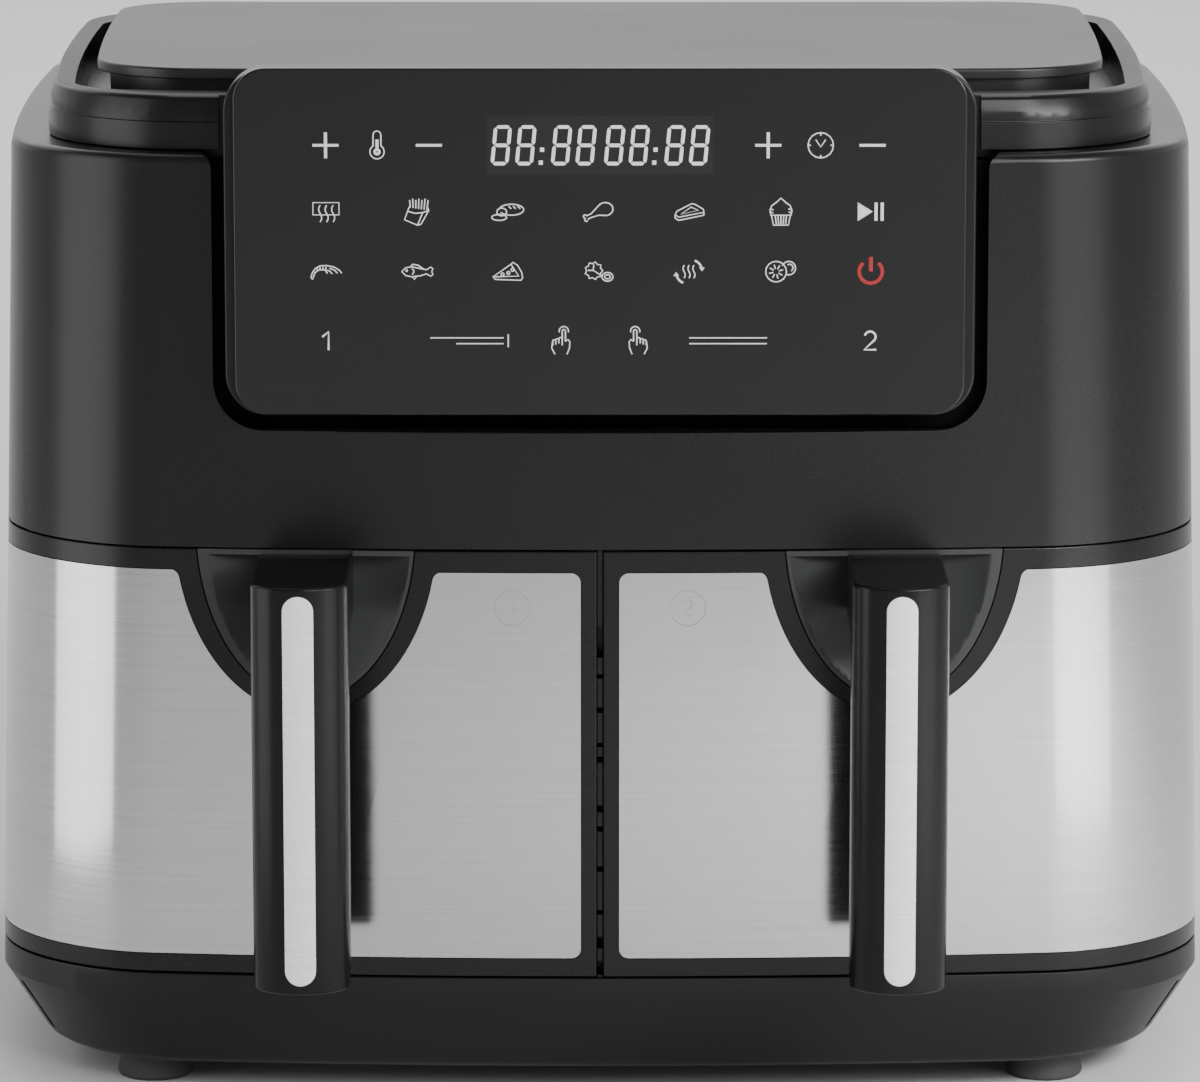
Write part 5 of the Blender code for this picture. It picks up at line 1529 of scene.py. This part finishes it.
    def steak(self, pen: Pen) -> None:
        """Draw a thick steak.

        Args:
            pen: a pen placed at the symbol's middle.
        """
        pen.line((-4.3, -0.9), (-3.8, 0.1), (-1.5, 1.3), (0.8, 2.5), (1.9, 2.2), (4.4, 0.7),
                 (4.5, -0.2), (-3.2, -1.7), closed=True)
        pen.line((-4.3, -0.9), (-4.3, -2.0), (-3.2, -2.7), (4.5, -1.1), (4.5, -0.2))
        pen.line((-2.6, -0.8), (0.6, 1.4), (2.9, 0.4), closed=True)

    def cupcake(self, pen: Pen) -> None:
        """Draw a cupcake with a peaked top.

        Args:
            pen: a pen placed at the symbol's middle.
        """
        pen.line((-2.9, -1.1), (-2.3, -4.2), (2.3, -4.2), (2.9, -1.1))
        for x in (-1.4, -0.7, 0, 0.7, 1.4):
            pen.line((x * 1.25, -1.2), (x, -4.0))
        pen.line((-3.1, -1.1), (-3.4, 0.4), (-2.8, 1.9), (-1.5, 2.8), (0, 4.2), (1.5, 2.8),
                 (2.8, 1.9), (3.4, 0.4), (3.1, -1.1), closed=True)
        for x in (-3.3, 2.3):
            pen.line((x, 0.9), (x + 1.0, 0.5)).line((x + 0.1, -0.1), (x + 0.9, -0.4))

    def shrimp(self, pen: Pen) -> None:
        """Draw a curled shrimp.

        Args:
            pen: a pen placed at the symbol's middle.
        """
        pen.line((-4.0, -1.5), (-4.3, -2.4), (-4.8, -1.8), (-4.4, -0.5), (-3.4, 1.0), (-1.9, 1.8),
                 (0.2, 1.9), (2.4, 1.4), (3.9, 0.5), (4.7, -0.5))
        pen.line((-4.0, -1.5), (-3.5, -0.3), (-2.4, 0.5), (-0.6, 0.6), (1.0, 0.2), (1.8, -0.7))
        for x in (-2.9, -2.0, -1.1, -0.2):
            pen.line((x, 0.6), (x + 0.1, 1.5))
        pen.line((0.9, 1.1), (2.4, 0.5), (3.4, -0.5)).line((-0.3, 0.3), (0.3, -0.6))

    def fish(self, pen: Pen) -> None:
        """Draw a fish with fins and an eye.

        Args:
            pen: a pen placed at the symbol's middle.
        """
        pen.line((-4.8, 0), (-3.6, 1.2), (-1.8, 1.5), (1.2, 0.9), (2.8, 0.6), (4.1, 1.4),
                 (4.8, 0.9), (4.4, 0), (4.8, -0.9), (4.1, -1.4), (2.8, -0.7), (0.8, -1.3),
                 (-1.8, -1.6), (-3.6, -1.2), closed=True)
        pen.line((-2.2, 1.5), (-1.4, 2.3), (0.2, 2.0), (1.8, 0.9))
        pen.line((-1.6, -1.6), (-0.9, -2.4), (-0.3, -1.5)).arc(-2.0, 0, 0.9, -70, 70)
        pen.arc(-3.3, 0.3, 0.25, 0, 360)

    def pizza(self, pen: Pen) -> None:
        """Draw a slice of pizza.

        Args:
            pen: a pen placed at the symbol's middle.
        """
        pen.line((-4.6, -1.6), (-4.0, -2.4), (3.9, -2.7), (4.5, -1.9), (4.2, -0.2), (2.9, 2.0),
                 (1.5, 2.9), (0.9, 2.3), closed=True)
        pen.line((0.9, 2.3), (3.3, -1.4), (-4.3, -1.6))
        for x, z in ((0.1, -0.4), (1.4, 0.6), (-1.7, -0.9)):
            pen.arc(x, z, 0.45, 0, 360)

    def greens(self, pen: Pen) -> None:
        """Draw a leafy head with a cut piece beside it.

        Args:
            pen: a pen placed at the symbol's middle.
        """
        leaf = []
        for step in range(18):
            a, reach = math.radians(step * 20), 2.8 - 0.6 * (step % 2)
            leaf.append((-1.4 + reach * math.cos(a), 0.3 + reach * math.sin(a)))
        pen.line(*leaf, closed=True).arc(2.8, -1.6, 1.7, 0, 360, tall=0.8)
        pen.arc(2.8, -1.6, 0.9, 0, 360, tall=0.7)
        pen.line((-1.4, 2.2), (-1.6, 0.4), (1.2, -1.4)).line((-3.2, 0.4), (-1.6, 0.4))

    def reheat(self, pen: Pen) -> None:
        """Draw three heat waves between two turning arrows.

        Args:
            pen: a pen placed at the symbol's middle.
        """
        for x in (-1.5, 0, 1.5):
            pen.wave(x, 0, 4.0, 0.35)
        for way in (1, -1):
            start = 0 if way > 0 else 180
            pen.arc(way * 0.5, way * 0.2, 3.5, start + 5, start + 68, Nib.NUMERAL)
            pen.line((way * 3.3, way * 1.3), (way * 4.0, way * 0.3), (way * 4.6, way * 1.4))

    def slices(self, pen: Pen) -> None:
        """Draw two round slices.

        Args:
            pen: a pen placed at the symbol's middle.
        """
        pen.arc(-1.4, 0, 3.2, 0, 360).arc(2.5, 1.1, 2.1, -110, 160)
        for turn in range(0, 360, 45):
            a = math.radians(turn + 15)
            pen.line((-1.4 + 0.9 * math.cos(a), 0.9 * math.sin(a)),
                     (-1.4 + 2.2 * math.cos(a), 2.2 * math.sin(a)))
        pen.arc(2.7, 1.2, 1.1, -60, 120)

    def power(self, y: float) -> Piece:
        """Draw the red power symbol.

        Args:
            y: the depth of the panel's face.

        Returns:
            The symbols' raised mesh.
        """
        pen = self.spot(Pen("panel_power", y), 6, 2)
        pen.arc(0, 0, 3.6, 131, 409, Nib.SEGMENT).line((0, 0.1), (0, 4.6), nib=Nib.SEGMENT)
        return stands_for(pen.mesh(), "housing")

    def display(self, y: float) -> Piece:
        """Draw two groups of four slanted digits with colons, every segment lit.

        Args:
            y: the depth of the panel's face.

        Returns:
            The symbols' raised mesh.
        """
        pen = Pen("display_digits", y)
        z = self.rows[0] * MM
        for group in range(2):
            shift = group * self.group_pitch
            for place, extra in ((0, 0), (1, 0), (2, 3.4), (3, 3.4)):
                x = self.first_digit + shift + place * self.digit_pitch + extra
                self.digit(pen.at(x * MM, z))
            colon = self.first_digit + shift + 1.5 * self.digit_pitch + 1.4
            for height in (-6.0, -2.0):
                pen.at(colon * MM, z).line((height * 0.1, height), (height * 0.1, height + 1.3),
                                           nib=Nib.SEGMENT)
        return stands_for(pen.mesh(), "housing")

    def digit(self, pen: Pen) -> None:
        """Draw the seven segments of one digit.

        Args:
            pen: a pen placed at the symbol's middle.
        """
        half, tall, lean, gap, tip = 2.22, 5.65, 0.1, 0.24, 0.6
        shares = (gap, gap + tip, -gap - tip, -gap)
        for level in (-1, 0, 1):
            z = level * tall
            places = [(half if share < 0 else -half) + share for share in shares]
            pen.line(*((x + z * lean, z) for x in places), nib=Nib.SEGMENT)
        for side in (-1, 1):
            for low in (-tall, 0):
                heights = [(low + tall if share < 0 else low) + share for share in shares]
                pen.line(*((side * half + z * lean, z) for z in heights), nib=Nib.SEGMENT)


@dataclass
class DrawerFront:
    """One drawer's front: frame, steel sheet, dished mount, handle and inlay."""

    shop: Workshop
    over: float = 20 * MM
    centre_gap: float = 2.1 * MM
    skin: float = 3.0 * MM
    ear: float = 2.7 * MM
    flange: float = 2.6 * MM
    depth: float = 13.3 * MM
    steel: float = 0.8 * MM
    steel_wrap: float = 47.6 * MM
    window_corner: float = 3 * MM
    handle_x: float = 91.7 * MM
    rim: tuple[float, float] = (41 * MM, 58.2 * MM)
    dish: tuple[float, float] = (34 * MM, 53.4 * MM)
    scoop_rise: float = 6 * MM
    ring: float = 0.9 * MM
    groove: float = 0.45 * MM
    nose: float = 11.3 * MM
    neck_half: float = 14.4 * MM
    neck_height: float = 18 * MM
    neck_back: float = 4.2 * MM
    bar_depth: float = 20 * MM
    armpit_radius: float = 11 * MM
    grip_edge: float = 1.1 * MM
    inlay_fit: float = 0.06 * MM
    inlay_depth: float = 4 * MM
    inlay_proud: float = 0.1 * MM
    mark_x: float = 27.3 * MM
    mark_z: float = 159.6 * MM

    def build(self) -> None:
        """Build the right-hand front, mirror it to the left and dress both."""
        makers = (("front_frame", "frame_moulding", self.frame, Finish.FRAME),
                  ("steel_panel", "brushed_sheet", self.sheet, Finish.STEEL),
                  # The dished mount takes the lighter copy of the black plastic: painted light
                  # against the shade in the dish.
                  ("handle_mount", "dished_moulding", self.mount, Finish.DISH),
                  ("handle_grip", "grip_moulding", self.grip, Finish.GRIP),
                  # The inlay's near-white colour is a painted reflection of the bright strip.
                  ("handle_inlay", "brushed_strip", self.inlay, Finish.INLAY))
        for node, look, make, finish in makers:
            right = self.shop.palette.dress(make(f"{node}_right_{look}"), finish)
            left = mirrored(right, f"{node}_left_{look}")
            stands_for(right, "right_drawer", f"{node}_right")
            stands_for(left, "left_drawer", f"{node}_left")
        self.marks()

    def shell(self, name: str, outer: float, inner: float, wrap: float) -> Piece:
        """Return the curved sheet of the front between two insets, trimmed at its wrap.

        Args:
            name: the new piece's name.
            outer: its outside's inset.
            inner: its inside's inset.
            wrap: how far back it reaches.

        Returns:
            The sheet.
        """
        form = self.shop.form
        low, high = self.shop.box("front_frame_right")
        over = self.over
        sheet = self.corner_slab(name, outer, low.z - over, high.z + over, wrap)
        tool = self.corner_slab("shell_inside", inner, low.z - 2 * over, high.z + 2 * over,
                                wrap + over)
        shape(sheet, form.warp)
        shape(tool, form.warp)
        return combine(sheet, tool)

    def corner_slab(self, name: str, inset: float, low: float, high: float,
                    depth: float) -> Piece:
        """Return the body's front slab down to a depth, before bowing.

        Args:
            name: the new piece's name.
            inset: its inset from the body.
            low: its bottom height.
            high: its top height.
            depth: how far back it reaches.

        Returns:
            The slab.
        """
        form = self.shop.form
        slab = form.slab(name, inset, inset, 150 * MM, low, high, (form.front_radius - inset, 0))
        trim(slab, (0, form.front + depth, 0), (0, 1, 0))
        return slab

    def scoop(self, name: str, radii: tuple[float, float], grow: float, depth: float) -> Piece:
        """Return the elliptical tool of the hand scoop.

        Args:
            name: the new piece's name.
            radii: its half width and half height.
            grow: how much is added to both.
            depth: how far it reaches each way.

        Returns:
            The tool.
        """
        form = self.shop.form
        top = self.shop.box("front_frame_right")[1].z
        return drum(name, (self.handle_x, form.front, top + self.scoop_rise),
                    (radii[0] + grow, radii[1] + grow), 2 * depth, 96, (math.pi / 2, 0, 0))

    def window(self, grow: float) -> Piece:
        """Return the tool with the steel sheet's outline.

        Args:
            grow: how much larger than the sheet it is all round.

        Returns:
            The tool.
        """
        low, high = self.shop.box("steel_panel_right")
        over = self.over
        plate = plate_xz("window", (low.x - grow, low.z - grow),
                         (high.x + over, high.z + grow), low.y - over, high.y + over,
                         self.window_corner + grow, 6, lambda co: co.x < 2 * over)
        combine(plate, self.scoop("rim", self.rim, -grow, 3 * over))

        def horn(edge: Any) -> bool:
            """Say whether an edge is where the scoop's rim meets the upper border.

            Args:
                edge: the edge.

            Returns:
                True if it is.
            """
            first, second = (vertex.co for vertex in edge.verts)
            across = near(first.x, second.x) and near(first.z, second.z)
            return across and level_at(edge, high.z + grow) and 40 * MM < first.x < 150 * MM

        bevel(plate, horn, self.window_corner, 6)
        return plate

    def frame(self, name: str) -> Piece:
        """Return the plastic frame with its pocket, scoop hole and hollow back.

        Args:
            name: the new piece's name.

        Returns:
            The finished piece.
        """
        form = self.shop.form
        low, high = self.shop.box("front_frame_right")
        over = self.over
        edge = self.centre_gap / 2
        piece = self.corner_slab(name, 0, low.z, high.z, form.front_radius)
        trim(piece, (edge, 0, 0), (-1, 0, 0))
        shape(piece, form.warp)
        soften(piece, 0.5 * MM, 2, 60)
        hollow = self.corner_slab("hollow", self.skin, low.z + self.flange,
                                  high.z - self.flange, form.front_radius + over)
        trim(hollow, (edge + self.flange, 0, 0), (-1, 0, 0))
        shape(hollow, form.warp)
        combine(piece, hollow)
        behind = self.corner_slab("behind", self.ear, low.z - over, high.z + over,
                                  form.front_radius + over)
        trim(behind, (-over, 0, 0), (-1, 0, 0))
        shape(behind, form.warp)
        combine(behind, block("front_zone", (-3 * over, form.front - over, 0),
                              (high.x + over, form.front + self.depth, high.z + 3 * over)))
        combine(piece, behind)
        pocket = self.shell("pocket", -MM, self.steel + FIT, self.steel_wrap + FIT)
        combine(pocket, self.window(FIT), "INTERSECT")
        combine(piece, pocket)
        combine(piece, self.scoop("scoop_hole", self.dish, self.groove, over))
        bevel(piece, self.on_scoop, 0.35 * MM, 2)
        return finished(piece, 35)

    def on_scoop(self, edge: Any) -> bool:
        """Say whether an edge is the outer border of the scoop hole.

        Args:
            edge: the edge.

        Returns:
            True if it is.
        """
        form = self.shop.form
        top = self.shop.box("front_frame_right")[1].z
        for vertex in edge.verts:
            across = (vertex.co.x - self.handle_x) / (self.dish[0] + self.groove)
            up = (vertex.co.z - top - self.scoop_rise) / (self.dish[1] + self.groove)
            if not near(math.hypot(across, up), 1, 0.004) or vertex.co.z > top - 0.8 * MM:
                return False
            if vertex.co.y > form.face_depth(vertex.co.x) + 0.3 * MM:
                return False
        return sharp(edge)

    def sheet(self, name: str) -> Piece:
        """Return the steel sheet that wraps the corner.

        Args:
            name: the new piece's name.

        Returns:
            The finished piece.
        """
        piece = self.shell(name, 0, self.steel, self.steel_wrap)
        combine(piece, self.window(0), "INTERSECT")
        soften(piece, 0.2 * MM, 2, 60)
        return finished(piece, 35)

    def mount(self, name: str) -> Piece:
        """Return the dished moulding behind the handle.

        Args:
            name: the new piece's name.

        Returns:
            The finished piece.
        """
        form = self.shop.form
        low, high = self.shop.box("front_frame_right")
        over = self.over
        piece = self.scoop(name, self.dish, 0, self.depth)
        limits = self.corner_slab("limits", 0, low.z, high.z, form.front_radius)
        shape(limits, form.warp)
        combine(piece, limits, "INTERSECT")
        face = form.face_depth(self.handle_x)
        deep = form.front + self.depth - face - 1.8 * MM
        centre = (self.handle_x, face - deep, high.z + self.scoop_rise)
        at_face = math.sqrt(3) / 2
        wide, tall = ((radius - self.ring) / at_face for radius in self.dish)
        bowl = ball("bowl", centre, (wide, 2 * deep, tall),
                    (0, 0, self.handle_x / form.crown_radius))
        neck_low = high.z - 1.4 * MM - self.neck_height
        combine(bowl, block("pedestal", (self.handle_x - self.neck_half, face - 2 * over, neck_low),
                            (self.handle_x + self.neck_half, face + 2 * over, high.z + 4 * over)))
        combine(bowl, block("lip", (self.handle_x - 2 * over, face - 3 * over, high.z - 1.6 * MM),
                            (self.handle_x + 2 * over, face + 3 * over, high.z + 5 * over)))
        combine(piece, bowl)
        combine(piece, block("neck_face", (self.handle_x - self.neck_half - FIT,
                                           face - over, neck_low - FIT),
                             (self.handle_x + self.neck_half + FIT,
                              form.front + self.neck_back, high.z + over)))
        soften(piece, 0.3 * MM, 2, 60)
        return finished(piece, 35)

    def grip(self, name: str) -> Piece:
        """Return the upright D-shaped bar with its neck pulled out of its back.

        Args:
            name: the new piece's name.

        Returns:
            The finished piece.
        """
        form = self.shop.form
        low, high = self.shop.box("handle_grip_right")
        x, half = self.handle_x, (high.x - low.x) / 2
        widest, back = low.y + self.nose, low.y + self.bar_depth
        bar = drum(name, (x, widest, (low.z + high.z) / 2), (half, self.nose),
                   high.z - low.z, 96)
        trim(bar, (x, widest, 0), (0, 1, 0))
        extrude(bar, lambda f: f.normal.y > 0.9, (0, back - widest, 0))
        neck_low = high.z - self.neck_height
        slice_across(bar, 2, [neck_low])
        extrude(bar, lambda f: f.normal.y > 0.9 and f.calc_center_median().z > neck_low,
                (0, form.front + self.neck_back - FIT - back, 0))

        def armpit(edge: Any) -> bool:
            """Say whether an edge is the inner corner under the neck."""
            return level_at(edge, neck_low) and all(near(v.co.y, back) for v in edge.verts)

        bevel(bar, armpit, self.armpit_radius, 8)

        def border(edge: Any) -> bool:
            """Say whether an edge is a sharp outer border of the bar or the neck."""
            centre = (edge.verts[0].co + edge.verts[1].co) / 2
            return sharp(edge, 45) and centre.y < form.front + 2 * MM

        bevel(bar, border, self.grip_edge, 3)
        combine(bar, self.strip("inlay_pocket", self.inlay_fit, self.inlay_depth))
        return finished(bar, 50)

    def inlay(self, name: str) -> Piece:
        """Return the bright strip, bent to the bar's nose and a little proud of it.

        Args:
            name: the new piece's name.

        Returns:
            The finished piece.
        """
        piece = self.strip(name, 0, 0)
        soften(piece, 0.25 * MM, 3, 50)
        return finished(piece, 40)

    def strip(self, name: str, grow: float, forward: float) -> Piece:
        """Return the strip's form bent to the bar's nose.

        Args:
            name: the new piece's name.
            grow: how much wider and longer than the strip all round.
            forward: how far its front is pulled out.

        Returns:
            The strip, or the tool of the pocket it lies in.
        """
        low, high = self.shop.box("handle_inlay_right")
        grip_low, grip_high = self.shop.box("handle_grip_right")
        half = (grip_high.x - grip_low.x) / 2
        radius = (high.x - low.x) / 2 + grow
        strip = plate_xz(name, (low.x - grow, low.z - grow), (high.x + grow, high.z + grow),
                         low.y - forward - self.inlay_proud, high.y, radius - 0.01 * MM, 16)
        slice_across(strip, 0, [self.handle_x + radius * step / 7 for step in range(-6, 7)])

        def bend(co: Vector) -> Vector:
            """Lay a point of the strip on the bar's curve.

            Args:
                co: the point.

            Returns:
                Its place on the bar's nose.
            """
            across = (co.x - self.handle_x) / half
            sink = self.nose * (1 - math.sqrt(max(0.0, 1 - across * across)))
            return Vector((co.x, co.y + sink, co.z))

        shape(strip, bend)
        return strip

    def marks(self) -> None:
        """Etch a faint ring and number near each sheet's upper inner corner."""
        form = self.shop.form
        y = form.face_depth(self.mark_x) - 0.01 * MM
        for body, side, name in (("left_drawer", -1, "zone_mark_left"),
                                 ("right_drawer", 1, "zone_mark_right")):
            pen = Pen(name, y).at(side * self.mark_x, self.mark_z)
            pen.arc(0, 0, 5.6, 0, 360)
            if side < 0:
                pen.line((-0.8, 1.2), (0.4, 2.4), (0.4, -2.4))
            else:
                pen.arc(0, 1.1, 1.4, 160, -20).line((1.3, 0.5), (-1.5, -2.4), (1.5, -2.4))
            piece = pen.mesh(0.05 * MM)
            self.shop.palette.dress(piece, Finish.ETCH)
            stands_for(piece, body)


@dataclass
class Works:
    """Baskets, plates, cavities, heaters, fans and motors behind the fronts."""

    shop: Workshop
    bumper_radius: float = 5.2 * MM
    bumper_height: float = 4.5 * MM

    def build(self) -> None:
        """Dress the inner pieces of both sides and the back."""
        rounded = (("basket", "drawer", Finish.COATING), ("crisper_plate", "plate", Finish.COATING),
                   ("cavity_liner", "", Finish.SHEET), ("heating_element", "", Finish.MOTOR),
                   ("heater_guard", "", Finish.BRIGHT), ("motor", "", Finish.MOTOR),
                   ("thermostat", "", Finish.MOTOR), ("motor_shaft", "fan", Finish.BRIGHT),
                   ("hot_air_fan", "fan", Finish.SHEET), ("cooling_fan", "fan", Finish.INNER))
        flat = (("inner_cover", Finish.INNER), ("motor_plate", Finish.SHEET),
                ("interlock_switch", Finish.INNER), ("rear_spacer", Finish.INNER))
        for side in ("left", "right"):
            for node, body, finish in rounded:
                self.smooth(f"{node}_{side}", f"{side}_{body}" if body else "housing", finish)
            for node, finish in flat:
                self.shop.palette.dress_node(f"{node}_{side}", finish)
            self.bumpers(side)
        self.shop.palette.dress_node("power_board", Finish.BOARD)
        self.shop.palette.dress_node("rear_cover", Finish.INNER)
        self.smooth("mains_gland", "housing", Finish.RUBBER)

    def smooth(self, node: str, body: str, finish: Finish) -> None:
        """Stand a smooth-shaded copy in for a node and dress it.

        Args:
            node: the frame node's name.
            body: the body it moves with.
            finish: its finish.
        """
        piece = smooth_copy(node)
        self.shop.palette.dress(piece, finish)
        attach(piece, body)

    def bumpers(self, side: str) -> None:
        """Put a soft bumper on each side of a crisper plate, against the basket's walls.

        Args:
            side: left or right.
        """
        low, high = self.shop.box(f"crisper_plate_{side}")
        middle = (low + high) / 2
        spots = ((low.x + 30 * MM, low.y), (high.x - 30 * MM, low.y),
                 (low.x + 30 * MM, high.y), (high.x - 30 * MM, high.y))
        for index, (x, y) in enumerate(spots):
            inward = 1 if y < middle.y else -1
            tip = block(f"plate_bumper_{index}_{side}",
                        (x - self.bumper_radius, min(y, y + inward * 5 * MM) - 0.6 * MM,
                         high.z - self.bumper_height),
                        (x + self.bumper_radius, max(y, y + inward * 5 * MM) + 0.6 * MM,
                         high.z + MM))
            soften(tip, 1.0 * MM, 3)
            self.shop.palette.dress(finished(tip), Finish.SILICONE)
            stands_for(tip, f"{side}_plate")


@dataclass
class Studio:
    """The pale floor, the soft lights and the camera."""

    form: BodyForm
    camera_back: float = 1985.7 * MM
    camera_height: float = 545.4 * MM
    pitch: float = 10.4
    lens: float = 195.0
    floor_half: float = 9.0
    left_sky: float = 0.18
    right_sky: float = 0.50
    back_sky: float = 1.00
    overhead: float = 0.35

    def build(self) -> None:
        """Set the whole stage."""
        self.floor()
        self.world()
        self.softbox("left_panel", (-0.49, -0.23, 0.26), (-0.16, -0.10, 0.25), (0.30, 0.60), 0.43,
                     spread=100)
        self.softbox("right_panel", (0.44, -0.40, 0.26), (0.16, -0.10, 0.25), (0.32, 0.60), 0.29,
                     spread=100)
        self.softbox("floor_light", (0.56, -0.60, 0.46), (0.52, -0.58, 0), (0.4, 0.4), 7.0)
        self.softbox("front_key", (1.4, -3.2, 2.0), (0, -0.1, 0.15), (1.6, 1.6), 52)
        self.softbox("top_light", (0, 0.4, 2.2), (0, 0, 0.3), (1.6, 1.6), 8)
        self.softbox("back_light", (0, 2.6, 1.8), (0, 2.6, 0), (5.0, 3.6), 85)
        self.camera()

    def floor(self) -> None:
        """Lay the pale floor under the feet."""
        bpy.ops.object.select_all(action="DESELECT")
        bpy.ops.mesh.primitive_plane_add(size=2 * self.floor_half)
        floor = settled("studio_floor")
        shader = Shader(bpy.data.materials.new("studio_floor"))
        cloudy = shader.noise(shader.place((3, 3, 3)), 1.0, 2)
        shader.feed(Base_Color=shader.blend(cloudy, rgb(0.80, 0.80, 0.80), rgb(0.84, 0.84, 0.84)),
                    Roughness=0.7)
        floor.data.materials.append(shader.owner)

    def world(self) -> None:
        """Light the scene from all round: white behind, softer in front, least on the left."""
        world = bpy.data.worlds.new("studio")
        bpy.context.scene.world = world
        shader = Shader(world, "Background")
        where = shader.node("ShaderNodeTexCoord", {}, {})
        parts = shader.node("ShaderNodeSeparateXYZ", {}, {
            0: Signal(shader, where.outputs["Generated"])})
        x, y, z = (Signal(shader, socket) for socket in parts.outputs)
        front = shader.spread(x, -0.45, 0.35, self.left_sky, self.right_sky)
        behind = shader.spread(y, 0.0, 0.6, 0.0, 1.0)
        dome = shader.spread(z, 0.25, 0.8, 1.0, self.overhead)
        shader.feed(Color=rgb(1, 1, 1),
                    Strength=(front + behind * (self.back_sky - front)) * dome)

    def softbox(self, name: str, place: Point, target: Point, size: tuple[float, float],
                power: float, spread: float = 180) -> None:
        """Hang a soft light that faces a point.

        Args:
            name: the light's name.
            place: its middle.
            target: the point it faces.
            size: its width and height.
            power: its power in watts.
            spread: the angle its light stays within.
        """
        light = bpy.data.lights.new(name, "AREA")
        light.shape = "RECTANGLE"
        light.size, light.size_y = size
        light.energy = power
        light.spread = math.radians(spread)
        lamp = bpy.data.objects.new(name, light)
        lamp.location = place
        lamp.rotation_euler = (Vector(target) - Vector(place)).to_track_quat("-Z", "Y").to_euler()
        lamp.visible_camera = False
        bpy.context.collection.objects.link(lamp)

    def camera(self) -> None:
        """Set the camera in front, looking a little down."""
        lens = bpy.data.cameras.new("camera")
        lens.lens = self.lens
        lens.sensor_width = 36
        eye = bpy.data.objects.new("camera", lens)
        eye.location = (0, self.form.front - self.camera_back, self.camera_height)
        eye.rotation_euler = (math.radians(90 - self.pitch), 0, 0)
        bpy.context.collection.objects.link(eye)
        bpy.context.scene.camera = eye


def main() -> None:
    """Build every sub-assembly over the frame and set the stage."""
    logging.basicConfig(level=logging.INFO, format="%(name)s: %(message)s")
    low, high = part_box("outer_housing")
    form = BodyForm(front=low.y, depth=high.y - low.y, shoulder_z=high.z)
    shop = Workshop(Palette(), form)
    assemblies = (Housing(shop), Top(shop), Base(shop), Console(shop), DrawerFront(shop),
                  Works(shop))
    for assembly in assemblies:
        LOG.info("building the %s", type(assembly).__name__)
        assembly.build()
    Studio(form).build()


if __name__ == "__main__":
    main()
